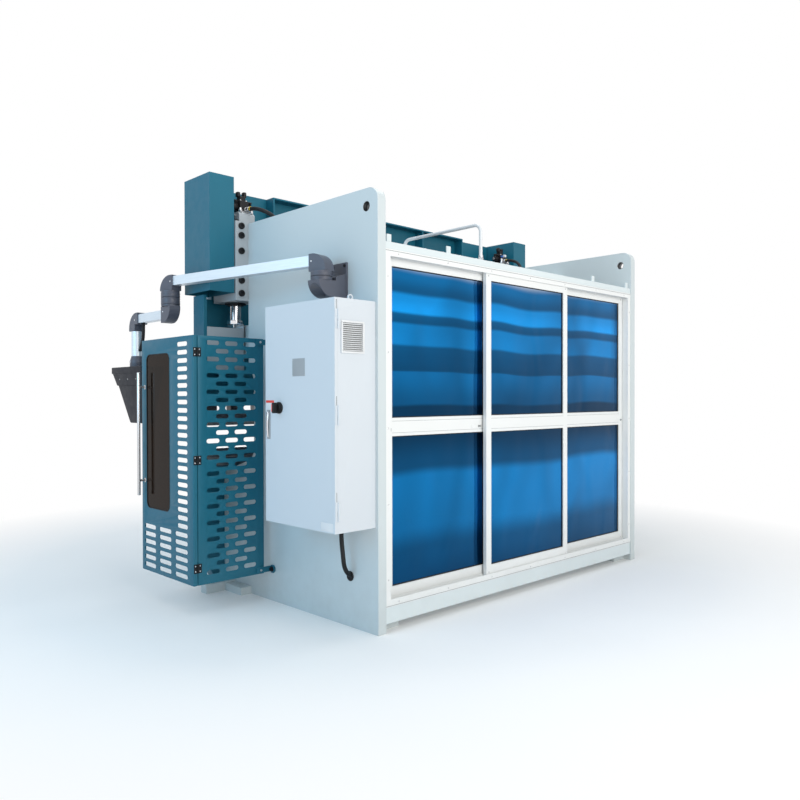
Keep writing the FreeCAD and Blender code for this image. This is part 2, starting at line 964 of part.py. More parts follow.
def switch_knob():
    """The main switch: a round knob with a grip across it."""
    x0 = cabinet_skin
    x1 = x0 + knob_thickness
    y = cabinet_front + knob_from_front
    z = cabinet_top - knob_from_top
    w = knob_grip_width / 2
    h = knob_grip_length / 2
    disc = rod(knob_radius, (x0, y, z), (x1, y, z))
    grip = block(x1, x1 + knob_grip_reach, y - w, y + w, z - h, z + h)
    return fused([disc, grip])


def cabinet_handle():
    """The swing handle on the cabinet's door, a bar with round ends."""
    w = swing_handle_width / 2
    y = cabinet_front + swing_handle_from_front + w
    z1 = cabinet_top - knob_from_top + knob_radius - swing_handle_drop
    z0 = z1 - swing_handle_length
    x0 = cabinet_skin
    x1 = x0 + swing_handle_depth
    bar = block(x0, x1, y - w, y + w, z0 + w, z1 - w)
    ends = [rod(w, (x0, y, z), (x1, y, z)) for z in (z0 + w, z1 - w)]
    return fused([bar] + ends)


def vent_place():
    """The vent's low and high ends along X and Z on the cabinet's rear side."""
    x1 = cabinet_face - vent_from_door
    zc = cabinet_top - vent_from_top
    return x1 - vent_width, x1, zc - vent_height / 2, zc + vent_height / 2


def cabinet_vent():
    """The louvred vent on the cabinet's rear side, a frame with slanting slats."""
    x0, x1, z0, z1 = vent_place()
    f = vent_frame
    y0 = cabinet_rear
    y1 = y0 + vent_depth
    frame = block(x0, x1, y0, y1, z0, z1).cut(block(x0 + f, x1 - f, y0 - 1, y1 + 1, z0 + f, z1 - f))
    pitch = (vent_height - 2 * f) / vent_slats
    slats = []
    for i in range(vent_slats):
        high = z0 + f + (i + 1) * pitch
        low = high - pitch
        outline = [
            (y0, high - vent_slat_thickness),
            (y1, low),
            (y1, low + vent_slat_thickness),
            (y0, high),
        ]
        slats.append(prism_x(outline, x0 + f, x1 - f))
    return fused([frame] + slats)


def slot(x0, x1, y0, y1, z):
    """The cutter of one slot across a sheet, at its mid height."""
    return block(x0, x1, y0, y1, z - slot_height / 2, z + slot_height / 2)


def rear_slots():
    """The staggered slots of the guard's rear panel, three and two by turns."""
    half = rear_slot_length / 2
    cutters = []
    for row in range(rear_slot_rows):
        z = guard_top - rear_slot_from_top - row * rear_slot_rise
        shift = row % 2
        for column in range(3 - shift):
            x = guard_panel_outer - rear_slot_inset - (column + shift / 2) * rear_slot_pitch
            cutters.append(slot(x - half, x + half, guard_rear_y - guard_sheet - 1, guard_rear_y + 1, z))
    return Part.makeCompound(cutters)


def door_slots():
    """The slots of the guard's door: one column beside the window and three short columns below it."""
    x0 = guard_outer_x - guard_sheet - 1
    x1 = guard_outer_x + 1
    cutters = []
    half = door_slot_length / 2
    y = guard_rear_y - door_slot_from_rear
    for row in range(door_slot_rows):
        cutters.append(slot_x(x0, x1, y, half, guard_top - door_slot_from_top - row * door_slot_rise))
    half = low_slot_length / 2
    y = guard_rear_y - low_slot_from_rear
    for column in range(low_slot_columns):
        for row in range(low_slot_rows):
            z = guard_bottom + low_slot_from_bottom + row * low_slot_rise
            cutters.append(slot_x(x0, x1, y - column * low_slot_pitch, half, z))
    return Part.makeCompound(cutters)


def slot_x(x0, x1, y, half, z):
    """The cutter of a slot in a sheet that faces sideways."""
    return slot(x0, x1, y - half, y + half, z)


def guard_rear():
    """The guard's rear panel: a punched sheet folded forwards along both upright edges."""
    x0 = guard_panel_inner
    x1 = guard_panel_outer
    y1 = guard_rear_y
    t = guard_sheet
    sheet = block(x0, x1, y1 - t, y1, guard_bottom, guard_top).cut(rear_slots())
    pieces = [
        sheet,
        block(x0, x0 + t, y1 - guard_flange, y1, guard_bottom, guard_top),
        block(x1 - t, x1, y1 - guard_flange, y1, guard_bottom, guard_top),
    ]
    return fused(pieces)


def guard_window_place():
    """The window's low and high ends along Y and Z in the guard's door."""
    y0 = guard_front_y + window_from_front
    z0 = guard_bottom + window_from_bottom
    return y0, y0 + window_width, z0, z0 + window_height


def guard_door():
    """The guard's door: a punched sheet with a window, folded inwards at its front and rear."""
    x1 = guard_outer_x
    x0 = x1 - guard_sheet
    t = guard_sheet
    y0 = guard_front_y
    y1 = guard_rear_y
    sheet = block(x0, x1, y0, y1, guard_bottom, guard_top)
    ya, yb, za, zb = guard_window_place()
    window = block(x0 - 1, x1 + 1, ya, yb, za, zb)
    window = window.makeFillet(window_radius, edges_along(window, "x"))
    pieces = [
        sheet.cut(window).cut(door_slots()),
        block(x1 - guard_flange, x1, y0, y0 + t, guard_bottom, guard_top),
        block(guard_door_inner, x1, y1 - t, y1, guard_bottom, guard_top),
    ]
    return fused(pieces)


def guard_window():
    """The tinted sheet behind the guard door's window."""
    x1 = guard_outer_x - guard_sheet
    ya, yb, za, zb = guard_window_place()
    w = window_overlap
    return block(x1 - window_sheet, x1, ya - w, yb + w, za - w, zb + w)


def guard_handle():
    """The stainless bar handle on two square feet."""
    x = guard_outer_x + handle_standoff
    y = guard_front_y + handle_from_front
    z0 = guard_bottom + handle_from_bottom
    z1 = z0 + handle_length
    h = handle_foot_side / 2
    pieces = [eight_sided(handle_radius, x, y, z0, z1)]
    for z in (z0 + handle_foot_inset, z1 - handle_foot_inset):
        pieces.append(block(guard_outer_x, x, y - h, y + h, z - h, z + h))
    return fused(pieces)


def guard_bracket(z):
    """A flat bar that carries the guard's rear panel from a round lug on the side frame."""
    h = bracket_bar_height / 2
    r = bracket_lug_radius
    y0 = guard_rear_y
    x1 = guard_panel_inner + bracket_bar_overlap
    bar = block(half_width, x1, y0, y0 + bracket_bar_thickness, z - h, z + h)
    lug = eight_sided_x(r, half_width, half_width + bracket_lug_thickness, y0 + r, z)
    return fused([bar, lug])


def local_arm(length):
    """A square bar's envelope and its hollow along +X from the origin."""
    s = arm_tube_side / 2
    w = s - arm_tube_wall
    return block(0, length, -s, s, -s, s), block(-1, length + 1, -w, w, -w, w)


def placed(shape, x, y, z, angle):
    """A shape turned about Z and moved from the origin to a point."""
    moved = shape.copy()
    moved.rotate(V(0, 0, 0), V(0, 0, 1), angle)
    moved.translate(V(x, y, z))
    return moved


def upper_arm_angle():
    """The direction of the first arm about Z, from its wall end, in degrees."""
    return first_arm_turn - 90.0


def elbow(base, crown, drum):
    """A cast elbow whose arm leaves along +X: a bend over an upright drum, with the tube's socket.

    The drum lies below the bend; base and crown are the bend's reach below and above the arm's axis.
    """
    w = arm_tube_side / 2 + elbow_wall
    outline = [(-elbow_back, -base), (elbow_socket, -base), (elbow_socket, crown), (-elbow_back, crown)]
    bend = prism_y(outline, -w, w)
    bend = bend.makeFillet(elbow_bend, edges_along(bend, "y", x=-elbow_back, z=crown))
    round_part = rod(elbow_radius, (0, 0, -base - drum), (0, 0, -base))
    socket, hollow = local_arm(elbow_socket + 1)
    socket.translate(V(elbow_socket - elbow_wall * 3, 0, 0))
    return fused([bend, round_part]).cut(socket)


def arm_tube(length):
    """A square tube that starts and ends inside the sockets of two elbows."""
    start = elbow_socket - elbow_wall * 3
    solid, hollow = local_arm(length - 2 * start)
    tube = solid.cut(hollow)
    tube.translate(V(start, 0, 0))
    return tube


def flipped(shape):
    """A shape upside down, about the X axis."""
    turned = shape.copy()
    turned.rotate(V(0, 0, 0), V(1, 0, 0), 180)
    return turned


def arm_bracket():
    """The wall bracket: a plate, and a casting that bends from it up to a round seat under the elbow."""
    z2 = turning_plane - turning_gap
    z1 = z2 - cup_height
    z0 = z2 - cup_depth
    x = arm_pivot_x
    y = arm_pivot_y
    r = elbow_radius
    plate_y = y - wall_plate_from_pivot
    top = first_arm_height
    plate = block(
        half_width,
        half_width + wall_plate_thickness,
        plate_y,
        plate_y + wall_plate_width,
        top - wall_plate_height,
        top,
    )
    seat = rod(r, (x, y, z1), (x, y, z2))
    x_end = x + r - seat_overhang
    x_wall = x - r - seat_clearance
    outline = [
        (half_width, z0),
        (x_end, z0),
        (x_end, z1),
        (x_wall, z1),
        (x_wall, z2),
        (half_width, z2 + web_rise),
    ]
    casting = prism_y(outline, y - web_thickness / 2, y + web_thickness / 2)
    casting = casting.makeFillet(cup_bend, edges_along(casting, "y", x=x_end, z=z0))
    return fused([plate, casting, seat])


def elbow_one():
    """The first arm's elbow over the wall bracket."""
    shape = elbow(elbow_base, elbow_crown, wall_drum_height)
    return placed(shape, arm_pivot_x, arm_pivot_y, first_arm_height, upper_arm_angle())


def first_arm():
    """The first arm's square tube."""
    shape = arm_tube(first_arm_length)
    return placed(shape, arm_pivot_x, arm_pivot_y, first_arm_height, upper_arm_angle())


def elbow_two():
    """The elbow at the far end of the first arm."""
    shape = elbow(elbow_base, elbow_crown, first_arm_height - elbow_base - elbow_split)
    return placed(shape, second_pivot_x, second_pivot_y, first_arm_height, upper_arm_angle() + 180)


def elbow_two_lower():
    """The lower half of that elbow, which turns with the second arm."""
    drum = elbow_split - turning_gap - second_arm_height - lower_elbow_base
    shape = flipped(elbow(lower_elbow_base, lower_elbow_crown, drum))
    return placed(shape, second_pivot_x, second_pivot_y, second_arm_height, -90)


def second_arm():
    """The second arm's square tube."""
    shape = arm_tube(second_arm_length)
    return placed(shape, second_pivot_x, second_pivot_y, second_arm_height, -90)


def elbow_three():
    """The elbow at the end of the second arm, over the drop tube."""
    w = arm_tube_side / 2 + elbow_wall
    b = last_elbow_back
    outline = [
        (-b, -last_elbow_foot),
        (last_elbow_throat, -last_elbow_foot),
        (last_elbow_throat, -w),
        (last_elbow_socket, -w),
        (last_elbow_socket, last_elbow_crown),
        (-b, last_elbow_crown),
    ]
    bend = prism_y(outline, -w, w)
    bend = bend.makeFillet(last_elbow_bend, edges_along(bend, "y", x=-b, z=last_elbow_crown))
    socket, hollow = local_arm(last_elbow_socket + 1)
    socket.translate(V(elbow_socket - elbow_wall * 3, 0, 0))
    return placed(bend.cut(socket), second_pivot_x, console_y, second_arm_height, 90)


def drop_tube():
    """The upright tube that the console hangs from."""
    x = second_pivot_x
    return rod(drop_tube_radius, (x, console_y, drop_tube_bottom), (x, console_y, drop_tube_top))


def console_neck():
    """The turning socket between the drop tube and the console."""
    x = second_pivot_x
    z1 = drop_tube_bottom - turning_gap
    return eight_sided(console_neck_radius, x, console_y, console_top, z1)


def console():
    """The operator console: a tapered housing under a rim, with its screen on the inner side."""
    a = console_width_top / 2
    b = console_width_bottom / 2
    y = console_y
    x0 = second_pivot_x - console_depth / 2
    z1 = console_top
    zr = z1 - console_rim
    z0 = z1 - console_height
    outline = [(y - a, z1), (y + a, z1), (y + a, zr), (y + b, z0), (y - b, z0), (y - a, zr)]
    body = prism_x(outline, x0, x0 + console_depth)
    s = screen_width / 2
    screen = block(x0 - 1, x0 + screen_recess, y - s, y + s, zr - screen_height, zr)
    return body.cut(screen)


def gauge_rail():
    """A rail along which the back gauge travels, fixed to the back of the bed."""
    w = gauge_rail_width / 2
    x = gauge_rail_x
    return block(x - w, x + w, bed_rear, bed_rear + gauge_rail_length, gauge_rail_bottom, gauge_rail_top)


def gauge_beam():
    """The back gauge's hollow cross beam with its end posts and runners."""
    s = gauge_beam_side / 2
    y = gauge_beam_y
    w = s - gauge_beam_wall
    zc = gauge_beam_bottom + s
    half = gauge_beam_half
    beam = block(-half, half, y - s, y + s, gauge_beam_bottom, gauge_beam_top)
    beam = beam.cut(block(-half - 1, half + 1, y - w, y + w, zc - w, zc + w))
    r = gauge_runner_width / 2
    length = gauge_runner_length / 2
    post = block(
        half,
        half + gauge_post_thickness,
        y - gauge_riser_depth / 2,
        y + gauge_riser_depth / 2,
        gauge_rail_bottom - gauge_post_low,
        gauge_rail_top + gauge_post_high,
    )
    runner = block(
        gauge_rail_x - r,
        gauge_rail_x + r,
        y - length,
        y + length,
        gauge_rail_top + turning_gap,
        gauge_beam_bottom,
    )
    return fused([beam, post, runner, mirrored(post), mirrored(runner)])


def gauge_finger():
    """A stop finger on its riser."""
    x = gauge_finger_x
    y = gauge_beam_y
    z1 = die_top + gauge_finger_rise
    r = gauge_riser_width / 2
    d = gauge_riser_depth / 2
    f = gauge_finger_width / 2
    riser = block(x - r, x + r, y - d, y + d, gauge_beam_top, z1)
    finger = block(x - f, x + f, y - gauge_finger_reach, y - d, z1 - gauge_finger_thickness, z1)
    return fused([riser, finger])


def punch_clamps():
    """The clamps under the ram that hold the punch, narrowed towards their nose."""
    clamps = []
    pitch = 2 * ram_half / clamp_count
    n = clamp_nose / 2
    outline = [
        (-ram_rear, ram_bottom),
        (ram_rear, ram_bottom),
        (ram_rear, punch_top + clamp_bevel),
        (n, punch_top),
        (-n, punch_top),
        (-ram_rear, punch_top + clamp_bevel),
    ]
    for i in range(clamp_count):
        x = -ram_half + (i + 0.5) * pitch
        clamps.append(prism_x(outline, x - clamp_width / 2, x + clamp_width / 2))
    return Part.makeCompound(clamps)


def punch():
    """The punch, from the clamps to its tip."""
    tip = punch_top - punch_height
    w = punch_thickness / 2
    n = punch_tip / 2
    bevel = tip + punch_taper
    outline = [(-w, punch_top), (w, punch_top), (w, bevel), (n, tip), (-n, tip), (-w, bevel)]
    return prism_x(outline, -bed_half, bed_half)


def round_bends(points, radii):
    """A wire of straight runs joined by tangent arcs of the stated radii, one for each inner point."""
    edges = []
    last = V(*points[0])
    for i, radius in enumerate(radii):
        corner = V(*points[i + 1])
        back = (V(*points[i]) - corner).normalize()
        ahead = (V(*points[i + 2]) - corner).normalize()
        half = back.getAngle(ahead) / 2
        reach = radius / math.tan(half)
        start = corner + back * reach
        end = corner + ahead * reach
        middle_way = (back + ahead).normalize()
        middle = corner + middle_way * (radius / math.sin(half) - radius)
        edges.append(Part.LineSegment(last, start).toShape())
        edges.append(Part.Arc(start, middle, end).toShape())
        last = end
    edges.append(Part.LineSegment(last, V(*points[-1])).toShape())
    return Part.Wire(edges)


def tube_along(name, radius, points, bend=None):
    """A tube with six sides along straight runs and arcs, and its figures in print.

    Each arc's radius comes from its shorter run, or is the stated bend.
    """
    radii = []
    for i in range(1, len(points) - 1):
        back = V(*points[i]) - V(*points[i - 1])
        ahead = V(*points[i + 1]) - V(*points[i])
        turn = back.getAngle(ahead)
        radii.append(bend or run_share * min(back.Length, ahead.Length) / math.tan(turn / 2))
    route = round_bends(points, radii)
    start = V(*points[0])
    along = (V(*points[1]) - start).normalize()
    flat = [V(a, b, 0) for a, b in polygon(radius, 0.0, 0.0, 6)]
    section = Part.makePolygon(flat + flat[:1])
    section.Placement = FreeCAD.Placement(start, FreeCAD.Rotation(V(0, 0, 1), along))
    tube = route.makePipeShell([section], True, False)
    area = 1.5 * math.sqrt(3) * radius * radius
    print(name, "length", round(route.Length, 1), "tightest bend", round(min(radii), 1))
    print(name, "volume share of section times length", round(tube.Volume / (area * route.Length), 3))
    return tube


def return_pipe():
    """The white steel pipe from the tank's lid to the upper rear beam."""
    y0 = tank_front + tank_depth + tank_lid_lip - pipe_from_lid_rear
    y1 = beam_rear - pipe_from_beam_rear
    points = [
        (pipe_x, y0, tank_bottom + tank_height),
        (pipe_x, y0, pipe_height),
        (pipe_x, y1, pipe_height),
        (pipe_x, y1, fence_top + top_bar_height),
    ]
    return tube_along("return_pipe", pipe_radius, points, pipe_bend)


def hose():
    """The hose from the valve's rear side over the side frame, cut off level on the tank's lid."""
    y0 = manifold_rear() - manifold_depth / 2 + valve_body_depth / 2
    lid = tank_bottom + tank_height
    points = [(rod_x + out, y0 + back, lid + up) for out, back, up in hose_route]
    x, y, z = points[-1]
    r = 2 * hose_radius
    return tube_along("hose", hose_radius, points).cut(block(x - r, x + r, y - r, y + r, lid - r, lid))


def cabinet_conduit():
    """The cabinet's cable conduit, from its bottom through the hole in the side frame."""
    y = rear_edge - cable_hole_inset
    z = cable_hole_height
    points = [(half_width + out, y + back, z + up) for out, back, up in conduit_route]
    return tube_along("cabinet_conduit", conduit_radius, points)


def console_cable():
    """The console's cable, from the second arm's underside into the drop tube."""
    z = second_arm_height - arm_tube_side / 2
    points = [(second_pivot_x, console_y + back, z + up) for back, up in console_cable_route]
    return tube_along("console_cable", console_cable_radius, points)


def save_sliding_doors():
    """The three sliding doors: the middle one in the outer track, the other two in the inner one."""
    middle_x = -door_width / 2
    near_x = jamb_face - door_gap - door_width
    far_x = door_gap - jamb_face
    doors = [
        ("near_door", near_x, inner_track, near_x + near_pull_inset),
        ("middle_door", middle_x, outer_track, None),
        ("far_door", far_x, inner_track, far_x + far_pull_inset),
    ]
    for name, x0, y1, pull_x in doors:
        save(name + "_frame", door_frame(x0, y1, pull_x))
        save(name + "_film", door_film(x0, y1))


def save_guards():
    """The side guards with their brackets."""
    low = guard_bottom + bracket_low
    high = guard_top - bracket_high
    fixed, turning = zip(*guard_hinges())
    save("guard_hinges", both_sides(*fixed))
    save_pair("guard_hinge_leaves", Part.makeCompound(list(turning)))
    save_pair("guard_rear", guard_rear())
    save_pair("guard_door", guard_door())
    save_pair("guard_window", guard_window())
    save_pair("guard_handle", guard_handle())
    save("guard_brackets", both_sides(guard_bracket(low), guard_bracket(high)))


def save_arm():
    """The pendant arm with its console."""
    save("arm_bracket", arm_bracket())
    save("arm_elbow_one", elbow_one())
    save("first_arm", first_arm())
    save("arm_elbow_two", elbow_two())
    save("arm_elbow_two_lower", elbow_two_lower())
    save("second_arm", second_arm())
    save("arm_elbow_three", elbow_three())
    save("drop_tube", drop_tube())
    save("console_neck", console_neck())
    save("console", console())
    save("console_cable", console_cable())


def main():
    """Build every piece and write it."""
    os.makedirs("parts", exist_ok=True)
    rear_foot = anchor_foot(rear_edge - foot_from_rear - foot_length)
    front_foot = anchor_foot(front_edge + foot_from_front)
    save_pair("side_frame", side_frame())
    save("frame_feet", both_sides(rear_foot, front_foot, outer_foot()))
    save("bed_plate", bed())
    save("table_rail", table_rail())
    save("vee_die", die())
    save("ram_plate", ram_plate())
    save("ram_channel", ram_channel())
    save("ram_columns", both_sides(ram_column()))
    save("push_blocks", both_sides(push_block()))
    save("piston_rods", both_sides(piston_rod()))
    save("punch_clamps", punch_clamps())
    save("punch", punch())
    save_pair("cylinder_block", cylinder_block())
    save("valves", both_sides(valves()))
    save("cylinder_covers", both_sides(cylinder_cover()))
    save("rear_beams", Part.makeCompound([top_beam(), bottom_beam()]))
    save("oil_tank", oil_tank())
    save("return_pipe", return_pipe())
    save("valve_hoses", both_sides(hose()))
    save("fence_frame", fence_frame())
    save_sliding_doors()
    save("cabinet_body", cabinet_body())
    save("cabinet_door", cabinet_door())
    save("cabinet_handle", cabinet_handle())
    save("cabinet_vent", cabinet_vent())
    save("cabinet_conduit", cabinet_conduit())
    save("main_switch", switch_knob())
    save_guards()
    save_arm()
    save("gauge_rails", both_sides(gauge_rail()))
    save("gauge_beam", gauge_beam())
    save("gauge_fingers", both_sides(gauge_finger()))


main()
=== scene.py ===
import json
import math

import bmesh
import bpy
import numpy as np
from mathutils import Matrix, Vector


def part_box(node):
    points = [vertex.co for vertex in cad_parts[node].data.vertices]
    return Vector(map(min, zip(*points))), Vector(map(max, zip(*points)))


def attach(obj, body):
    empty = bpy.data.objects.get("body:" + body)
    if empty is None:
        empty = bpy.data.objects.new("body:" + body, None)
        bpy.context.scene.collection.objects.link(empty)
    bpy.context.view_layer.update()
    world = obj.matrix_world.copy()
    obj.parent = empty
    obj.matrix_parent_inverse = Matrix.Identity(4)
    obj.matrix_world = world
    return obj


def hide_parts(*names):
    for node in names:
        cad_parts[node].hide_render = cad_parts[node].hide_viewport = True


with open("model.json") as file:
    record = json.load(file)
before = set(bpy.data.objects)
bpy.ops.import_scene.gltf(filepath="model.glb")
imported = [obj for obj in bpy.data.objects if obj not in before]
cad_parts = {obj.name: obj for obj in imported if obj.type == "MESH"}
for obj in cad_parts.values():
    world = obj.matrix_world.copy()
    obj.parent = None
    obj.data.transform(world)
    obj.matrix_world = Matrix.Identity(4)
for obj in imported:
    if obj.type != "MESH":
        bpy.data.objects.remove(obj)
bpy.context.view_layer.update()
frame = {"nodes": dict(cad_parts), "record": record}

bl_info = {
    "name": "Hydraulic press brake",
    "version": (1, 0, 0),
    "blender": (4, 5, 0),
    "location": "3D View > Sidebar > Press Brake",
    "description": "Dresses the machine's frame with its finished pieces and materials",
    "category": "Object",
}

BODY_OF = {name: body for body, names in frame["record"]["behaviour"]["bodies"].items() for name in names}
SIDES = (("right", 1.0), ("left", -1.0))
GROUPS = {}
FINISHES = {}


# Sizes and colours

class PaintSettings(bpy.types.PropertyGroup):
    """The finishes that a user may change."""
    frame_colour: bpy.props.FloatVectorProperty(
        name="Frame colour", description="Paint of the side frames", subtype="COLOR",
        size=3, min=0.0, max=1.0, default=(0.59, 0.655, 0.675))
    ram_colour: bpy.props.FloatVectorProperty(
        name="Ram colour", description="Paint of the ram, bed and guards", subtype="COLOR",
        size=3, min=0.0, max=1.0, default=(0.006, 0.133, 0.203))
    cabinet_colour: bpy.props.FloatVectorProperty(
        name="Cabinet colour", description="Powder coat of the cabinet", subtype="COLOR",
        size=3, min=0.0, max=1.0, default=(0.62, 0.67, 0.72))
    film_colour: bpy.props.FloatVectorProperty(
        name="Film colour", description="Reflecting film on the rear doors", subtype="COLOR",
        size=3, min=0.0, max=1.0, default=(0.004, 0.20, 0.52))


class EdgeSettings(bpy.types.PropertyGroup):
    """The sizes that a user may change."""
    plate_edge: bpy.props.FloatProperty(
        name="Plate edge", description="Width of the broken edge on thick plates",
        subtype="DISTANCE", unit="LENGTH", min=0.0002, max=0.01, default=0.0022)
    sheet_edge: bpy.props.FloatProperty(
        name="Sheet edge", description="Width of the broken edge on sheet metal",
        subtype="DISTANCE", unit="LENGTH", min=0.0002, max=0.005, default=0.0007)


# Mesh tools

def add_object(name, mesh, finish, owner, angle=35.0):
    """Link a finished mesh as a piece that rides with a CAD node's body."""
    mesh.materials.append(FINISHES[finish])
    mesh.shade_smooth()
    mesh.set_sharp_from_angle(angle=math.radians(angle))
    piece = bpy.data.objects.new(name, mesh)
    bpy.context.scene.collection.objects.link(piece)
    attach(piece, BODY_OF[owner])
    return piece


def add_piece(name, surfaces, finish, owner, angle=35.0):
    """Join surfaces into one piece in a finished material."""
    return add_object(name, mesh_from(name, surfaces), finish, owner, angle)


def turned(surface, angle, centre):
    """The same surface, turned by an angle round an upright axis through a centre."""
    vertices, cells = surface
    middle = np.asarray(centre, float)
    out = np.array(vertices, float) - middle
    cos, sin = math.cos(angle), math.sin(angle)
    x = out[:, 0] * cos - out[:, 1] * sin
    y = out[:, 0] * sin + out[:, 1] * cos
    return np.column_stack([x, y, out[:, 2]]) + middle, cells


def mirrored(surface):
    """The same surface on the other side of the machine's mid-plane."""
    vertices, cells = surface
    return np.asarray(vertices, float) * (-1.0, 1.0, 1.0), [tuple(cell)[::-1] for cell in cells]


def both_sides(surfaces):
    """Surfaces together with their mirror images."""
    return list(surfaces) + [mirrored(surface) for surface in surfaces]


def mesh_from(name, surfaces):
    """One mesh out of several (vertices, faces) surfaces, put one after another."""
    points, faces, start = [], [], 0
    for vertices, cells in surfaces:
        points.append(np.asarray(vertices, float).reshape(-1, 3))
        faces += [tuple(int(i) + start for i in cell) for cell in cells]
        start += len(points[-1])
    mesh = bpy.data.meshes.new(name)
    mesh.from_pydata(np.concatenate(points), [], faces)
    mesh.validate()
    mesh.update()
    return mesh


def loft(rings, closed_path=False):
    """A skin over rings (R, N, 3): quads between neighbours, and a flat cap at either end."""
    rings = np.asarray(rings, float)
    count, size = rings.shape[:2]
    last = count if closed_path else count - 1
    i, j = np.meshgrid(np.arange(last), np.arange(size), indexing="ij")
    a = i * size + j
    b = i * size + (j + 1) % size
    c = ((i + 1) % count) * size + (j + 1) % size
    d = ((i + 1) % count) * size + j
    cells = np.stack([a, b, c, d], -1).reshape(-1, 4).tolist()
    if not closed_path:
        cells.append(list(range(size))[::-1])
        cells.append(list(range((count - 1) * size, count * size)))
    return rings.reshape(-1, 3), cells


def rounded_outline(half_u, half_v, radius, steps=4):
    """A rectangle with round corners as (N, 2) points: each corner is a quarter circle about its centre."""
    turn = np.linspace(0.0, math.pi / 2, steps + 1)
    arcs = []
    for k, (su, sv) in enumerate([(1, 1), (-1, 1), (-1, -1), (1, -1)]):
        angle = turn + k * math.pi / 2
        arcs.append(np.stack([su * (half_u - radius) + radius * np.cos(angle),
                              sv * (half_v - radius) + radius * np.sin(angle)], -1))
    return np.concatenate(arcs)


AXES = {"x": (1, 2, 0), "y": (2, 0, 1), "z": (0, 1, 2)}


def turned_to(points, axis):
    """Local (u, v, w) columns placed so that w runs along the named axis."""
    out = np.empty_like(points)
    for column, target in enumerate(AXES[axis]):
        out[..., target] = points[..., column]
    return out


def soft_box(low, high, radius, axis="z", steps=3):
    """A box with round edges: rounded rectangles that shrink along a quarter circle at either end."""
    low, high = np.asarray(low, float), np.asarray(high, float)
    order = AXES[axis]
    half = ((high - low) / 2)[list(order)]
    centre = (high + low) / 2
    radius = min(radius, half.min() * 0.98)
    angle = np.linspace(0.0, math.pi / 2, steps + 1)
    rings = []
    for sign in (-1, 1):
        for a in (angle[::-1] if sign < 0 else angle):
            inset = radius * (1 - math.cos(a))
            corner = max(radius - inset, radius * 0.12)
            ring = rounded_outline(half[0] - inset, half[1] - inset, corner, steps)
            w = sign * (half[2] - radius + radius * math.sin(a))
            rings.append(np.column_stack([ring, np.full(len(ring), w)]))
    vertices, cells = loft(np.array(rings))
    return turned_to(vertices, axis) + centre, cells


def revolve(profile, centre, axis="z", sides=48):
    """A profile of (radius, height) rows turned once round an axis through a centre."""
    profile = np.asarray(profile, float)
    turn = np.arange(sides) * 2 * math.pi / sides
    rings = np.stack([profile[:, :1] * np.cos(turn), profile[:, :1] * np.sin(turn),
                      np.repeat(profile[:, 1:2], sides, 1)], -1)
    vertices, cells = loft(rings)
    return turned_to(vertices, axis) + np.asarray(centre, float), cells


def soft_disc(radius, low, high, edge, centre, axis="z", sides=48):
    """A round bar between two heights with rounded rims: its profile is two quarter circles."""
    a = np.linspace(0, math.pi / 2, 4)
    bottom = np.column_stack([radius - edge + edge * np.sin(a), low + edge - edge * np.cos(a)])
    top = np.column_stack([radius - edge + edge * np.cos(a), high - edge + edge * np.sin(a)])
    return revolve(np.concatenate([bottom, top]), centre, axis, sides)


def headed(profile, centre, axis, sign, sides):
    """A screw head's profile turned round its axis, pointing forwards or backwards along it."""
    profile = profile * (1.0, sign)
    return revolve(profile if sign > 0 else profile[::-1], centre, axis, sides)


def socket_screw(radius, height, centre, axis="z", sign=1.0, sides=24):
    """A cap screw's head with a round recess: a profile that turns down into the recess."""
    profile = np.array([
        (radius, 0.0), (radius, height * 0.86), (radius * 0.9, height),
        (radius * 0.58, height), (radius * 0.52, height * 0.93), (radius * 0.5, height * 0.45),
    ])
    return headed(profile, centre, axis, sign, sides)


def swept(profile, path, closed=False, scale=None, upright=(0.0, 0.0, 1.0)):
    """A profile (N, 2) carried along a path (M, 3), square to the path at each of its points.

    Its first column runs square to the path and the upright direction, and a scale may vary along the path.
    """
    path = np.asarray(path, float)
    ahead = np.roll(path, -1, 0) - path
    back = path - np.roll(path, 1, 0)
    if not closed:
        ahead[-1], back[0] = back[-1], ahead[0]
    along = ahead / np.linalg.norm(ahead, axis=1)[:, None] + back / np.linalg.norm(back, axis=1)[:, None]
    along /= np.linalg.norm(along, axis=1)[:, None]
    side = np.cross(along, upright)
    side /= np.linalg.norm(side, axis=1)[:, None]
    up = np.cross(side, along)
    factor = np.ones(len(path)) if scale is None else np.asarray(scale, float)
    wide = profile[None, :, :1] * factor[:, None, None]
    tall = profile[None, :, 1:] * factor[:, None, None]
    rings = path[:, None] + wide * side[:, None] + tall * up[:, None]
    return loft(rings, closed)


def ring_profile(radius, sides=16):
    """A circle's points in its own plane."""
    turn = np.arange(sides) * 2 * math.pi / sides
    return np.column_stack([radius * np.cos(turn), radius * np.sin(turn)])


def obround(u, v, length, height, steps=7):
    """A slot's outline: two half circles joined by straight sides."""
    r = height / 2
    turn = np.linspace(-math.pi / 2, math.pi / 2, steps)
    right = np.column_stack([u + length / 2 - r + r * np.cos(turn), v + r * np.sin(turn)])
    left = np.column_stack([u - length / 2 + r - r * np.cos(turn), v - r * np.sin(turn)])
    return np.concatenate([right, left])


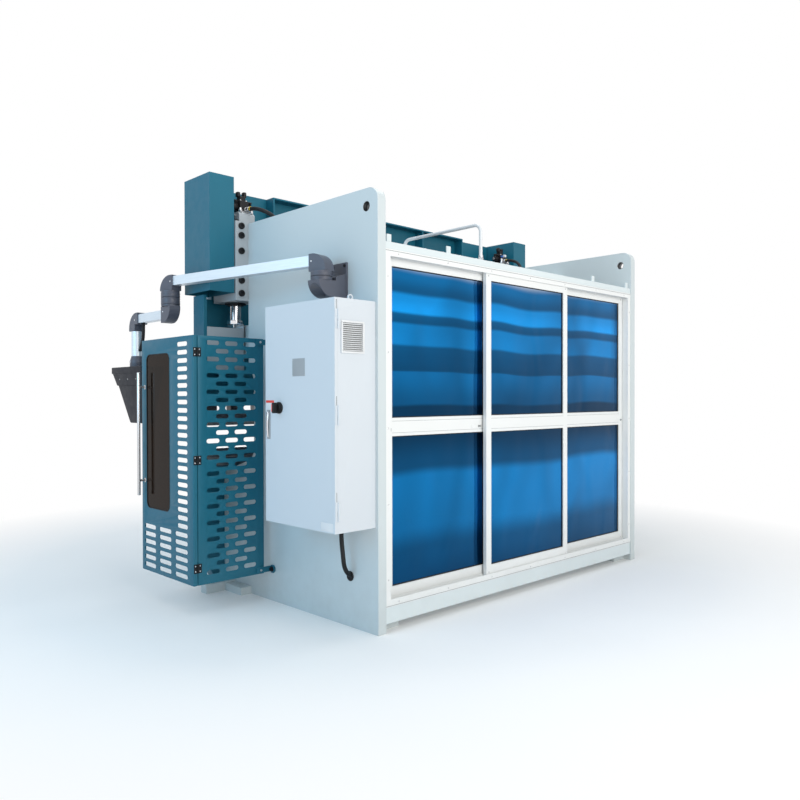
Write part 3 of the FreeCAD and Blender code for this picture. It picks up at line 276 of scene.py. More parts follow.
def sheet_mesh(name, outline, holes, thickness, edge):
    """A flat sheet with holes: closed outlines filled, thickened both ways and given a round rim."""
    curve = bpy.data.curves.new(name + "_outline", "CURVE")
    curve.dimensions = "2D"
    curve.fill_mode = "BOTH"
    curve.extrude = thickness / 2 - edge
    curve.bevel_depth = edge
    curve.bevel_resolution = 1
    curve.offset = -edge
    for loop in [outline] + list(holes):
        spline = curve.splines.new("POLY")
        spline.points.add(len(loop) - 1)
        flat = np.column_stack([loop, np.zeros(len(loop)), np.ones(len(loop))])
        spline.points.foreach_set("co", flat.ravel())
        spline.use_cyclic_u = True
    holder = bpy.data.objects.new(name + "_holder", curve)
    bpy.context.scene.collection.objects.link(holder)
    bpy.context.view_layer.update()
    mesh = bpy.data.meshes.new_from_object(holder.evaluated_get(bpy.context.evaluated_depsgraph_get()))
    bpy.data.objects.remove(holder)
    bpy.data.curves.remove(curve)
    work = bmesh.new()
    work.from_mesh(mesh)
    bmesh.ops.remove_doubles(work, verts=work.verts, dist=1e-5)
    bmesh.ops.recalc_face_normals(work, faces=work.faces)
    work.to_mesh(mesh)
    work.free()
    mesh.name = name
    return mesh


def placed_sheet(mesh, axis, middle):
    """Turn a sheet's mesh so that it faces along the axis, with its middle plane at a coordinate."""
    points = np.empty(len(mesh.vertices) * 3)
    mesh.vertices.foreach_get("co", points)
    points = points.reshape(-1, 3)
    points[:, 2] += middle
    mesh.vertices.foreach_set("co", sheet_axes(points, axis).ravel())
    mesh.update()
    if axis == "y":
        mesh.flip_normals()
    return mesh


def sheet_axes(points, axis):
    """Local (u, v, w) columns with v upright: u is Y on a sheet facing X, and X on one facing Y."""
    if axis == "x":
        return points[:, [2, 0, 1]]
    if axis == "y":
        return points[:, [0, 2, 1]]
    return points


def surface_of(mesh):
    """A mesh's (vertices, faces), so that it can be joined with others."""
    points = np.empty(len(mesh.vertices) * 3)
    mesh.vertices.foreach_get("co", points)
    return points.reshape(-1, 3), [tuple(p.vertices) for p in mesh.polygons]


def hexagon_head(radius, height, centre, axis="z", sign=1.0):
    """A hexagon bolt's head with a turned top edge."""
    profile = np.array([(radius, 0.0), (radius, height * 0.85), (radius * 0.86, height), (0.0004, height)])
    return headed(profile, centre, axis, sign, 6)


def dome_head(radius, height, centre, axis="z", sign=1.0, sides=20):
    """A round screw head: its profile is a flat arc from the rim to the middle."""
    a = np.linspace(0.0, math.pi / 2, 5)
    profile = np.column_stack([radius * np.cos(a), height * np.sin(a)])
    profile[-1, 0] = radius * 0.03
    profile = np.concatenate([[(radius, -height * 0.2)], profile])
    return headed(profile, centre, axis, sign, sides)


def box_ring(low, high, wall, radius, axis):
    """A rectangular frame of four soft bars round an opening that runs along the axis."""
    low, high = np.asarray(low, float), np.asarray(high, float)
    u, v = AXES[axis][:2]
    bars = []
    for place, other in ((u, v), (v, u)):
        for end in (0, 1):
            a, b = low.copy(), high.copy()
            if end:
                a[place] = high[place] - wall
            else:
                b[place] = low[place] + wall
            if place == v:
                a[other] += wall * 0.98
                b[other] -= wall * 0.98
            bars.append(soft_box(a, b, radius, axis, 2))
    return bars


def rim_strip(loop, profile, axis, level):
    """A strip with a profile of (outward, height) rows laid round a closed loop of (u, v) points.

    Each point of the loop is moved along the mean normal of its two sides.
    """
    loop = np.asarray(loop, float)
    side = np.roll(loop, -1, 0) - loop
    side /= np.linalg.norm(side, axis=1)[:, None]
    normal = np.column_stack([side[:, 1], -side[:, 0]])
    normal = normal + np.roll(normal, 1, 0)
    normal /= (np.linalg.norm(normal, axis=1) ** 2 / 2)[:, None]
    rows = np.asarray(profile, float)
    flat = loop[:, None] + normal[:, None] * rows[None, :, :1]
    depth = np.broadcast_to(rows[None, :, 1:2] + level, flat.shape[:2] + (1,))
    vertices, cells = loft(np.concatenate([flat, depth], -1), True)
    return sheet_axes(vertices, axis), cells


def finish_node(name, finish, edge, segments=2):
    """Replace a node by its own shape: doubles merged, flat faces joined and edges bevelled."""
    work = bmesh.new()
    work.from_mesh(frame["nodes"][name].data)
    bmesh.ops.remove_doubles(work, verts=work.verts, dist=2e-5)
    bmesh.ops.dissolve_limit(work, angle_limit=math.radians(1.0), verts=work.verts, edges=work.edges)
    mesh = bpy.data.meshes.new(name + "_finished")
    work.to_mesh(mesh)
    work.free()
    mesh.materials.clear()
    piece = add_object(name + "_finished", mesh, finish, name)
    bevel = piece.modifiers.new("Edges", "BEVEL")
    bevel.width = edge
    bevel.segments = segments
    bevel.limit_method = "ANGLE"
    bevel.angle_limit = math.radians(40)
    bevel.use_clamp_overlap = True
    bevel.harden_normals = True
    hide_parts(name)


# Materials

def group_tree(name, inputs, outputs):
    """A shader node group with named sockets: returns the tree and its input and output nodes."""
    tree = bpy.data.node_groups.new(name, "ShaderNodeTree")
    for label, kind, value in inputs:
        socket = tree.interface.new_socket(label, in_out="INPUT", socket_type=kind)
        socket.default_value = value
    for label, kind in outputs:
        tree.interface.new_socket(label, in_out="OUTPUT", socket_type=kind)
    return tree, tree.nodes.new("NodeGroupInput"), tree.nodes.new("NodeGroupOutput")


def node(tree, kind, **values):
    """Add a node: a key that starts with in_ sets a socket, and any other key a property."""
    made = tree.nodes.new(kind)
    for key, value in values.items():
        if key.startswith("in_"):
            made.inputs[key[3:].replace("_", " ")].default_value = value
        else:
            setattr(made, key, value)
    return made


def feed(tree, socket, value):
    """Link a socket to another one, or give it a plain value."""
    if isinstance(value, bpy.types.NodeSocket):
        tree.links.new(value, socket)
    else:
        socket.default_value = value


def object_place(tree):
    """Coordinates on the piece itself, in metres."""
    return node(tree, "ShaderNodeTexCoord").outputs["Object"]


def height_of(tree, where):
    """The upright one of three coordinates."""
    parts = node(tree, "ShaderNodeSeparateXYZ")
    tree.links.new(where, parts.inputs[0])
    return parts.outputs["Z"]


def maths(tree, operation, *values):
    """A sum, product or the like of sockets and plain numbers."""
    made = node(tree, "ShaderNodeMath", operation=operation)
    for socket, value in zip(made.inputs, values):
        feed(tree, socket, value)
    return made.outputs[0]


def stretched(tree, where, factors):
    """Coordinates multiplied by a factor along each axis."""
    made = node(tree, "ShaderNodeVectorMath", operation="MULTIPLY")
    feed(tree, made.inputs[0], where)
    feed(tree, made.inputs[1], factors)
    return made.outputs[0]


def noise(tree, where, scale, detail=3.0, rough=0.5, distortion=0.0):
    """A noise pattern on the given coordinates."""
    made = node(tree, "ShaderNodeTexNoise", in_Detail=detail, in_Roughness=rough, in_Distortion=distortion)
    feed(tree, made.inputs["Vector"], where)
    feed(tree, made.inputs["Scale"], scale)
    return made.outputs["Fac"]


def ramp(tree, value, low, high, to_low=0.0, to_high=1.0):
    """Map a value's range to another one, clamped."""
    made = node(tree, "ShaderNodeMapRange", in_From_Min=low, in_From_Max=high,
                in_To_Min=to_low, in_To_Max=to_high)
    tree.links.new(value, made.inputs["Value"])
    return made.outputs["Result"]


def mixed(tree, factor, first, second):
    """Mix two colours, each a socket or a plain colour."""
    made = node(tree, "ShaderNodeMix", data_type="RGBA")
    feed(tree, made.inputs[0], factor)
    for socket, value in ((made.inputs[6], first), (made.inputs[7], second)):
        feed(tree, socket, value if isinstance(value, bpy.types.NodeSocket) else (*value[:3], 1.0))
    return made.outputs[2]


def bumped(tree, height, strength, distance):
    """A bump normal from a height."""
    made = node(tree, "ShaderNodeBump", in_Distance=distance)
    feed(tree, made.inputs["Height"], height)
    feed(tree, made.inputs["Strength"], strength)
    return made.outputs["Normal"]


def mix_shaders(tree, factor, first, second, output):
    """Mix two shaders into a tree's output."""
    mix = tree.nodes.new("ShaderNodeMixShader")
    for socket, value in zip(mix.inputs, (factor, first, second)):
        tree.links.new(value, socket)
    tree.links.new(mix.outputs[0], output.inputs["Surface"])


GREY = (0.5, 0.5, 0.5, 1.0)
LOW_TONE_COLOUR = (0.19, 0.165, 0.135)
SHADE_OUTPUTS = (
    ("Colour", "NodeSocketColor"), ("Roughness", "NodeSocketFloat"), ("Normal", "NodeSocketVector"))


def make_paint_group():
    """Sprayed paint: clouds of a second tone, patches darker and browner towards the floor, uneven gloss and
    fine waves.
    """
    tree, start, end = group_tree(
        "Sprayed paint",
        [("Colour", "NodeSocketColor", GREY), ("Second Tone", "NodeSocketColor", GREY),
         ("Clouds", "NodeSocketFloat", 0.5), ("Roughness", "NodeSocketFloat", 0.4),
         ("Grain Scale", "NodeSocketFloat", 420.0), ("Grain", "NodeSocketFloat", 0.15),
         ("Low Darkening", "NodeSocketFloat", 0.0)], SHADE_OUTPUTS)
    given = start.outputs
    where = object_place(tree)
    clouds = ramp(tree, noise(tree, where, 1.7, 4.0, 0.55), 0.35, 0.7)
    clouds = maths(tree, "MULTIPLY", clouds, given["Clouds"])
    colour = mixed(tree, clouds, given["Colour"], given["Second Tone"])
    # The paint turns darker and browner in patches towards the floor
    low = ramp(tree, height_of(tree, where), 0.0, 0.55, 1.0, 0.0)
    patch = ramp(tree, noise(tree, where, 9.0, 5.0, 0.6), 0.3, 0.75, 0.35, 1.0)
    low_darkening = maths(tree, "MULTIPLY", maths(tree, "MULTIPLY", low, patch), given["Low Darkening"])
    tree.links.new(mixed(tree, low_darkening, colour, LOW_TONE_COLOUR), end.inputs["Colour"])
    gloss = ramp(tree, noise(tree, where, 23.0, 3.0), 0.3, 0.7, -0.05, 0.06)
    tree.links.new(maths(tree, "ADD", gloss, given["Roughness"]), end.inputs["Roughness"])
    grain = noise(tree, where, given["Grain Scale"], 1.0)
    tree.links.new(bumped(tree, grain, given["Grain"], 0.0006), end.inputs["Normal"])
    return tree


def make_brushed_group():
    """Brushed or ground metal: noise drawn out along one direction, as tone, gloss and fine ridges."""
    tree, start, end = group_tree(
        "Brushed metal",
        [("Colour", "NodeSocketColor", GREY), ("Second Tone", "NodeSocketColor", GREY),
         ("Stretch", "NodeSocketVector", (1.0, 1.0, 1.0)), ("Roughness", "NodeSocketFloat", 0.3),
         ("Ridges", "NodeSocketFloat", 0.1)], SHADE_OUTPUTS)
    given = start.outputs
    lines = noise(tree, stretched(tree, object_place(tree), given["Stretch"]), 1.0, 4.0, 0.6)
    colour = mixed(tree, ramp(tree, lines, 0.35, 0.65), given["Colour"], given["Second Tone"])
    tree.links.new(colour, end.inputs["Colour"])
    gloss = ramp(tree, lines, 0.3, 0.7, -0.06, 0.08)
    tree.links.new(maths(tree, "ADD", gloss, given["Roughness"]), end.inputs["Roughness"])
    tree.links.new(bumped(tree, lines, given["Ridges"], 0.0002), end.inputs["Normal"])
    return tree


def blank_material(name):
    """A material with only a Principled BSDF and its output."""
    material = bpy.data.materials.new(name)
    material.use_nodes = True
    tree = material.node_tree
    tree.nodes.clear()
    shader = tree.nodes.new("ShaderNodeBsdfPrincipled")
    output = tree.nodes.new("ShaderNodeOutputMaterial")
    tree.links.new(shader.outputs["BSDF"], output.inputs["Surface"])
    return material, tree, shader


def with_group(name, group, sockets, constants=()):
    """A material whose colour, roughness and normal come from a shared group with its own values."""
    material, tree, shader = blank_material(name)
    effect = tree.nodes.new("ShaderNodeGroup")
    effect.node_tree = GROUPS[group]
    for key, value in sockets.items():
        effect.inputs[key].default_value = (*value, 1.0) if key in ("Colour", "Second Tone") else value
    tree.links.new(effect.outputs["Colour"], shader.inputs["Base Color"])
    tree.links.new(effect.outputs["Roughness"], shader.inputs["Roughness"])
    tree.links.new(effect.outputs["Normal"], shader.inputs["Normal"])
    for key, value in dict(constants).items():
        shader.inputs[key].default_value = value
    FINISHES[name] = material
    return material


def shade(colour, factor):
    """The same colour, lighter or darker."""
    return tuple(min(1.0, c * factor) for c in colour[:3])


def paint(name, colour, second=0.9, roughness=0.4, clouds=0.4, scale=700.0, grain=0.1, low_darkening=0.0,
          **constants):
    """A sprayed paint of one colour."""
    return with_group(name, "paint", {
        "Colour": tuple(colour[:3]), "Second Tone": shade(colour, second), "Clouds": clouds,
        "Roughness": roughness, "Grain Scale": scale, "Grain": grain, "Low Darkening": low_darkening}, constants)


def metal(name, colour, stretch, roughness=0.3, second=0.8, ridges=0.1, **constants):
    """A brushed metal whose lines run along the axis with the smallest stretch."""
    return with_group(name, "brushed", {
        "Colour": tuple(colour[:3]), "Second Tone": shade(colour, second), "Stretch": stretch,
        "Roughness": roughness, "Ridges": ridges}, {"Metallic": 1.0, **constants})


# Painted reflections on the film: bands as (share of its height, brightness), from the bottom
FILM_PAINTED_REFLECTIONS = (
    (0.0, 0.30), (0.12, 0.45), (0.20, 1.0), (0.34, 1.15), (0.375, 0.40), (0.48, 0.15), (0.555, 0.18),
    (0.565, 0.50), (0.66, 0.80), (0.665, 0.34), (0.70, 0.40), (0.735, 0.46), (0.745, 1.20),
    (0.80, 1.10), (0.81, 0.42), (0.83, 0.5), (0.84, 1.75), (0.885, 1.35), (0.90, 0.45), (0.95, 0.75),
    (1.0, 0.6))


def film_material(name, colour):
    """Mirror film on clear sheet: painted reflections as level bands of light and dark blue, bent a little
    like loose film, under soft patches of painted shade.
    """
    material, tree, shader = blank_material(name)
    where = object_place(tree)
    height = ramp(tree, height_of(tree, where), 0.15, 2.11)
    bend = noise(tree, stretched(tree, where, (1.0, 1.0, 0.25)), 1.1, 1.0, 0.4, 0.4)
    level = maths(tree, "ADD", height, maths(tree, "MULTIPLY_ADD", bend, 0.07, -0.035))
    # The light and dark bands are painted reflections, fixed to the film by height
    bands = node(tree, "ShaderNodeValToRGB")
    bands.color_ramp.interpolation = "EASE"
    for place, factor in FILM_PAINTED_REFLECTIONS:
        stop = bands.color_ramp.elements.new(place)
        stop.color = (*shade(colour, factor), 1.0)
    for edge in (0, -1):
        bands.color_ramp.elements.remove(bands.color_ramp.elements[edge])
    tree.links.new(level, bands.inputs[0])
    # Soft darker patches over the bands: painted shade
    broad = noise(tree, stretched(tree, where, (1.0, 1.0, 0.55)), 2.2, 1.0, 0.4, 0.7)
    painted_shade_veil = ramp(tree, broad, 0.40, 0.75, 0.0, 0.55)
    tone = mixed(tree, painted_shade_veil, bands.outputs["Color"], shade(colour, 0.22))
    tree.links.new(tone, shader.inputs["Base Color"])
    waves = noise(tree, stretched(tree, where, (1.0, 1.0, 0.6)), 3.2, 1.0, 0.4, 0.9)
    tree.links.new(bumped(tree, waves, 0.35, 0.02), shader.inputs["Normal"])
    shader.inputs["Roughness"].default_value = 0.05
    shader.inputs["Metallic"].default_value = 0.92
    FINISHES[name] = material
    return material


def glass_material(name, colour, roughness=0.04, clear=0.85):
    """Tinted clear sheet: a transmitting body with faint smears in its gloss."""
    material, tree, shader = blank_material(name)
    where = object_place(tree)
    smear = ramp(tree, noise(tree, where, 7.0, 4.0, 0.6), 0.3, 0.8, roughness, roughness + 0.08)
    tree.links.new(smear, shader.inputs["Roughness"])
    tone = mixed(tree, ramp(tree, noise(tree, where, 3.0, 2.0), 0.3, 0.7), colour, shade(colour, 0.75))
    tree.links.new(tone, shader.inputs["Base Color"])
    shader.inputs["Transmission Weight"].default_value = clear
    shader.inputs["IOR"].default_value = 1.14
    shader.inputs["Coat Weight"].default_value = 0.04
    shader.inputs["Coat Roughness"].default_value = 0.05
    FINISHES[name] = material
    return material


def make_materials(settings):
    """Every finish of the machine."""
    GROUPS["paint"] = make_paint_group()
    GROUPS["brushed"] = make_brushed_group()
    dull = {"Specular IOR Level": 0.25}
    paint("Frame paint", settings.frame_colour, 0.96, 0.38, 0.5, 260.0, 0.10, 0.22)
    # A lighter copy of the frame paint on the beams and oil tank: painted light that makes up for the dimmer
    # light low at the rear
    paint("Lit beam paint", shade(settings.frame_colour, 1.14), 0.95, 0.42, 0.5, 300.0, 0.12, 0.1)
    # A darker copy of the pale frame paint on the cylinder and push blocks: painted shade, as they stand in
    # shade
    paint("Shaded block paint", (0.40, 0.44, 0.47), 0.9, 0.4, 0.5, 300.0, 0.15)
    satin = {"Specular IOR Level": 0.35}
    paint("Teal paint", settings.ram_colour, 0.84, 0.44, 0.6, 380.0, 0.16, 0.12, **satin)
    paint("Cabinet coat", settings.cabinet_colour, 0.95, 0.45, 0.35, 900.0, 0.22)
    paint("Elbow coat", (0.082, 0.090, 0.120), 0.85, 0.42, 0.5, 700.0, 0.3)
    # A darker copy of the elbow coat: painted shade for the bracket's curved underside
    paint("Elbow underside shade", (0.040, 0.045, 0.062), 0.85, 0.45, 0.5, 700.0, 0.3)
    paint("Console coat", (0.010, 0.012, 0.019), 0.8, 0.5, 0.4, 900.0, 0.3, **dull)
    paint("Valve black", (0.008, 0.008, 0.010), 1.3, 0.42, 0.5, 500.0, 0.2, **dull)
    paint("Black plastic", (0.008, 0.008, 0.009), 1.4, 0.4, 0.5, 800.0, 0.15, **dull)
    paint("Rubber", (0.010, 0.010, 0.011), 1.5, 0.6, 0.6, 600.0, 0.3, **dull)
    paint("Red plastic", (0.75, 0.045, 0.03), 0.85, 0.35, 0.4, 700.0, 0.1)
    paint("Green plastic", (0.02, 0.30, 0.10), 0.85, 0.38, 0.4, 700.0, 0.1)
    paint("Yellow plastic", (0.72, 0.50, 0.03), 0.85)
    paint("Blue plastic", (0.02, 0.12, 0.42), 0.85)
    paint("White plastic", (0.72, 0.74, 0.76), 0.93)
    paint("Plate grey", (0.33, 0.35, 0.37), 0.93, 0.42, 0.4, 700.0, 0.1)
    paint("Fence white", (0.80, 0.82, 0.82), 0.96, 0.34, 0.4, 800.0, 0.1, 0.15)
    metal("Tool steel", (0.36, 0.37, 0.38), (4.0, 420.0, 420.0), 0.30, 0.75, 0.2)
    metal("Clamp steel", (0.16, 0.165, 0.17), (160.0, 160.0, 8.0), 0.38, 0.75, 0.2)
    metal("Chrome", (0.80, 0.80, 0.82), (60.0, 60.0, 900.0), 0.10, 0.94, 0.05)
    metal("Stainless", (0.62, 0.62, 0.63), (420.0, 420.0, 6.0), 0.26, 0.88, 0.12)
    metal("Screw steel", (0.62, 0.63, 0.65), (200.0, 200.0, 200.0), 0.28, 0.85, 0.1)
    metal("Anodised", (0.74, 0.80, 0.86), (9.0, 9.0, 320.0), 0.40, 0.93, 0.1, Metallic=0.5)
    film_material("Blue film", tuple(settings.film_colour))
    glass_material("Brown sheet", (0.022, 0.011, 0.006), 0.04, 0.5)
    glass_material("Screen glass", (0.004, 0.006, 0.010), 0.08)


# Stage

VIEW_PLACE = (4.140, 4.624, 1.301)
VIEW_DIRECTION = (-0.6949, -0.7191, -0.0087)
VIEW_ROLL = -0.0018
LENS = 33.79
LENS_SHIFT = (0.0021, 0.0044)
FLOOR_HALF = 30.0


def camera_matrix(place, direction, roll):
    """The camera's world matrix from its place, viewing direction and roll."""
    forward = Vector(direction).normalized()
    right = forward.cross(Vector((0, 0, 1))).normalized()
    up = right.cross(forward)
    turned_right = right * math.cos(roll) + up * math.sin(roll)
    turned_up = up * math.cos(roll) - right * math.sin(roll)
    matrix = Matrix((turned_right, turned_up, -forward)).transposed().to_4x4()
    matrix.translation = Vector(place)
    return matrix


def add_camera():
    """The photograph's viewpoint."""
    data = bpy.data.cameras.new("View")
    data.sensor_width = 36.0
    data.lens = LENS
    data.shift_x, data.shift_y = LENS_SHIFT
    data.clip_end = 100.0
    camera = bpy.data.objects.new("View", data)
    bpy.context.scene.collection.objects.link(camera)
    camera.matrix_world = camera_matrix(VIEW_PLACE, VIEW_DIRECTION, VIEW_ROLL)
    bpy.context.scene.camera = camera


def add_area(name, place, target, size, power, colour=(1, 1, 1)):
    """A soft rectangular lamp aimed at a point."""
    data = bpy.data.lights.new(name, "AREA")
    data.shape = "RECTANGLE"
    data.size, data.size_y = size
    data.energy = power
    data.color = colour
    lamp = bpy.data.objects.new(name, data)
    bpy.context.scene.collection.objects.link(lamp)
    lamp.location = place
    lamp.rotation_euler = (Vector(target) - Vector(place)).to_track_quat("-Z", "Y").to_euler()


def add_world():
    """Soft even light, and plain white where the camera, glass or metal looks past the machine."""
    world = bpy.data.worlds.new("Studio")
    bpy.context.scene.world = world
    world.use_nodes = True
    tree = world.node_tree
    tree.nodes.clear()
    path = tree.nodes.new("ShaderNodeLightPath")
    soft = node(tree, "ShaderNodeBackground", in_Strength=0.50)
    soft.inputs["Color"].default_value = (0.84, 0.93, 1.0, 1.0)
    white = node(tree, "ShaderNodeBackground", in_Strength=1.0)
    white.inputs["Color"].default_value = (1.0, 1.0, 1.0, 1.0)
    past = maths(tree, "MAXIMUM", path.outputs["Is Glossy Ray"], path.outputs["Is Transmission Ray"])
    seen = maths(tree, "MAXIMUM", path.outputs["Is Camera Ray"], past)
    mix_shaders(tree, seen, soft.outputs[0], white.outputs[0], tree.nodes.new("ShaderNodeOutputWorld"))


def floor_material():
    """Pale matt floor that fades to plain white away from the machine."""
    material, tree, shader = blank_material("Floor")
    where = object_place(tree)
    tone = mixed(tree, ramp(tree, noise(tree, where, 1.2), 0.3, 0.7), (0.93, 0.93, 0.93), (0.95, 0.95, 0.95))
    tree.links.new(tone, shader.inputs["Base Color"])
    shader.inputs["Roughness"].default_value = 0.9
    length = node(tree, "ShaderNodeVectorMath", operation="LENGTH")
    tree.links.new(where, length.inputs[0])
    far = ramp(tree, length.outputs["Value"], 2.6, 4.4)
    glow = node(tree, "ShaderNodeEmission", in_Strength=1.0)
    glow.inputs["Color"].default_value = (1, 1, 1, 1)
    output = next(n for n in tree.nodes if n.type == "OUTPUT_MATERIAL")
    mix_shaders(tree, far, shader.outputs[0], glow.outputs[0], output)
    return material


class PRESS_OT_stage(bpy.types.Operator):
    """Set up the camera, lamps, world and floor."""
    bl_idname = "press_brake.stage"
    bl_label = "Stage"

    def execute(self, context):
        scene = context.scene
        scene.view_settings.view_transform = "Standard"
        add_camera()
        add_world()
        add_area("Rear light", (1.5, 7.0, 2.9), (0.0, 1.2, 0.8), (5.0, 3.0), 208.0, (1.0, 0.945, 0.87))
        add_area("Side light", (6.8, 0.6, 2.8), (1.4, 0.6, 1.1), (4.0, 3.0), 106.0, (0.25, 0.67, 1.0))
        add_area("Top light", (0.0, 1.0, 6.0), (0.0, 0.8, 0.0), (5.0, 4.0), 110.0)
        add_area("Front light", (-3.0, -6.5, 3.5), (0.0, 0.0, 1.2), (5.0, 3.0), 150.0)
        floor = bpy.data.meshes.new("Floor")
        corners = upright_outline(-FLOOR_HALF, FLOOR_HALF, -FLOOR_HALF, FLOOR_HALF)
        floor.from_pydata([(x, y, 0.0) for x, y in corners], [], [(0, 1, 2, 3)])
        floor.materials.append(floor_material())
        piece = bpy.data.objects.new("Floor", floor)
        scene.collection.objects.link(piece)
        return {"FINISHED"}


# Cords: the routes in metres

HOSE_RADIUS = 0.013
CONDUIT_RADIUS = 0.013
CABLE_RADIUS = 0.0115
RIB_STEP = 0.0024
HOSE_ROUTE = ((1.374, 0.298, 2.552), (1.374, 0.378, 2.552), (1.362, 0.458, 2.530),
              (1.326, 0.530, 2.490), (1.290, 0.582, 2.426), (1.282, 0.598, 2.330))
CONDUIT_ROUTE = ((1.460, 1.390, 0.588), (1.460, 1.390, 0.508), (1.460, 1.404, 0.425),
                 (1.458, 1.412, 0.348), (1.401, 1.394, 0.289), (1.326, 1.386, 0.289))
CABLE_ROUTE = ((1.7752, -0.3799, 1.820), (1.7752, -0.3799, 1.762), (1.7752, -0.3869, 1.704),
               (1.7752, -0.4179, 1.656), (1.7752, -0.4321, 1.630))


def route_curve(name, route, radius):
    """A smooth curve of one spline over a route's points."""
    curve = bpy.data.curves.new(name, "CURVE")
    curve.dimensions = "3D"
    curve.resolution_u = 16
    curve.bevel_depth = radius
    curve.bevel_resolution = 5
    curve.use_fill_caps = radius > 0
    spline = curve.splines.new("NURBS")
    spline.points.add(len(route) - 1)
    for point, place in zip(spline.points, route):
        point.co = (*place, 1.0)
    spline.order_u = 3
    spline.use_endpoint_u = True
    return curve


def cord_piece(name, curve_or_mesh, finish, owner):
    """Link a cord's curve or tube, which stands for its CAD solid."""
    curve_or_mesh.materials.append(FINISHES[finish])
    piece = bpy.data.objects.new(name, curve_or_mesh)
    bpy.context.scene.collection.objects.link(piece)
    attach(piece, BODY_OF[owner])
    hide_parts(owner)
    return piece


def route_line(route, step):
    """Points along a route's smooth curve at even steps."""
    curve = route_curve("line", route, 0.0)
    holder = bpy.data.objects.new("line", curve)
    bpy.context.scene.collection.objects.link(holder)
    bpy.context.view_layer.update()
    mesh = bpy.data.meshes.new_from_object(holder.evaluated_get(bpy.context.evaluated_depsgraph_get()))
    points = np.empty(len(mesh.vertices) * 3)
    mesh.vertices.foreach_get("co", points)
    points = points.reshape(-1, 3)
    bpy.data.objects.remove(holder)
    bpy.data.curves.remove(curve)
    bpy.data.meshes.remove(mesh)
    run = np.concatenate([[0.0], np.cumsum(np.linalg.norm(np.diff(points, axis=0), axis=1))])
    even = np.linspace(0.0, run[-1], int(round(run[-1] / step)) + 1)
    return np.column_stack([np.interp(even, run, points[:, k]) for k in range(3)])


class PRESS_OT_cords(bpy.types.Operator):
    """Lay the two oil hoses, the cabinet's conduit and the console's cable."""
    bl_idname = "press_brake.cords"
    bl_label = "Hoses and cables"

    def execute(self, context):
        for side, sign in SIDES:
            route = [(sign * x, y, z) for x, y, z in HOSE_ROUTE]
            piece = cord_piece("oil_hose_" + side, route_curve("oil_hose_" + side, route, HOSE_RADIUS),
                               "Rubber", "valve_hoses")
        line = route_line(CONDUIT_ROUTE, RIB_STEP)
        wave = 1.0 - 0.07 * (np.arange(len(line)) % 3 == 2) - 0.02 * (np.arange(len(line)) % 3 == 1)
        skin = swept(ring_profile(CONDUIT_RADIUS, 20), line, scale=wave, upright=(0.0, 1.0, 0.0))
        tube = mesh_from("conduit", [skin])
        tube.shade_smooth()
        piece = cord_piece("conduit", tube, "Black plastic", "cabinet_conduit")
        piece = cord_piece("console_lead", route_curve("console_lead", CABLE_ROUTE, CABLE_RADIUS),
                           "Rubber", "console_cable")
        return {"FINISHED"}


# Structure: side frames, bed, ram, beams

RAM_HALF = 1.583
CLAMP_COUNT = 16
LIFTING_HOLE = (1.528, 2.350)
ANCHOR_X = 1.255
ANCHOR_ROWS = (0.465, 1.475)
PIPE_RADIUS = 0.011
PIPE_BEND = 0.050
PIPE_TOP = 2.392
# The pipe's two upright legs as (place from front to rear, height of the lower end)
PIPE_FRONT = (0.880, 2.330)
PIPE_REAR = (1.568, 2.157)


class PRESS_OT_structure(bpy.types.Operator):
    """Finish the side frames, bed, ram, beams, oil tank and back gauge."""
    bl_idname = "press_brake.structure"
    bl_label = "Frame, bed and ram"

    def execute(self, context):
        edge = context.scene.press_edges.plate_edge
        for name in ("side_frame_right", "side_frame_left", "frame_feet"):
            finish_node(name, "Frame paint", edge)
        for name in ("rear_beams", "oil_tank"):
            finish_node(name, "Lit beam paint", edge)
        finish_node("push_blocks", "Shaded block paint", edge)
        for name in ("bed_plate", "ram_plate", "ram_channel", "ram_columns", "gauge_beam", "gauge_rails"):
            finish_node(name, "Teal paint", edge)
        for name in ("table_rail", "vee_die", "punch", "gauge_fingers"):
            finish_node(name, "Tool steel", edge * 0.5)
        finish_node("punch_clamps", "Clamp steel", edge)
        finish_node("piston_rods", "Chrome", edge)
        frame_screws()
        clamp_screws()
        bed_details()
        tank_details()
        gauge_details()
        return {"FINISHED"}


def frame_screws():
    """Screws of the ram guides, dark rings in the lifting holes for their bare steel walls and painted
    shade, and the nuts on the anchor pads.
    """
    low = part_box("side_frame_right")[0]
    surfaces = []
    for z in (1.600, 1.650, 1.710, 1.760):
        for y in (0.090, 0.220, 0.330):
            surfaces.append(socket_screw(0.009, 0.009, (low.x, y, z), "x", -1.0))
    add_piece("guide_screws", both_sides(surfaces), "Screw steel", "side_frame_right")
    # Dark steel rings in the lifting holes: the bare wall of each hole and painted shade inside it
    hole_steel_and_shade = [ring_band(0.0282, 0.0262, 1.3305, 1.3895, LIFTING_HOLE, "x"),
              ring_band(0.0282, 0.0215, 1.354, 1.366, LIFTING_HOLE, "x")]
    add_piece("lifting_hole_steel_and_shade", both_sides(hole_steel_and_shade), "Clamp steel", "side_frame_right")
    nuts = []
    for y in ANCHOR_ROWS:
        nuts += [soft_disc(0.024, 0.028, 0.031, 0.001, (ANCHOR_X, y, 0.0)),
                 hexagon_head(0.019, 0.016, (ANCHOR_X, y, 0.031)),
                 soft_disc(0.011, 0.031, 0.060, 0.002, (ANCHOR_X, y, 0.0), "z", 24)]
    add_piece("anchor_nuts", both_sides(nuts), "Screw steel", "frame_feet")


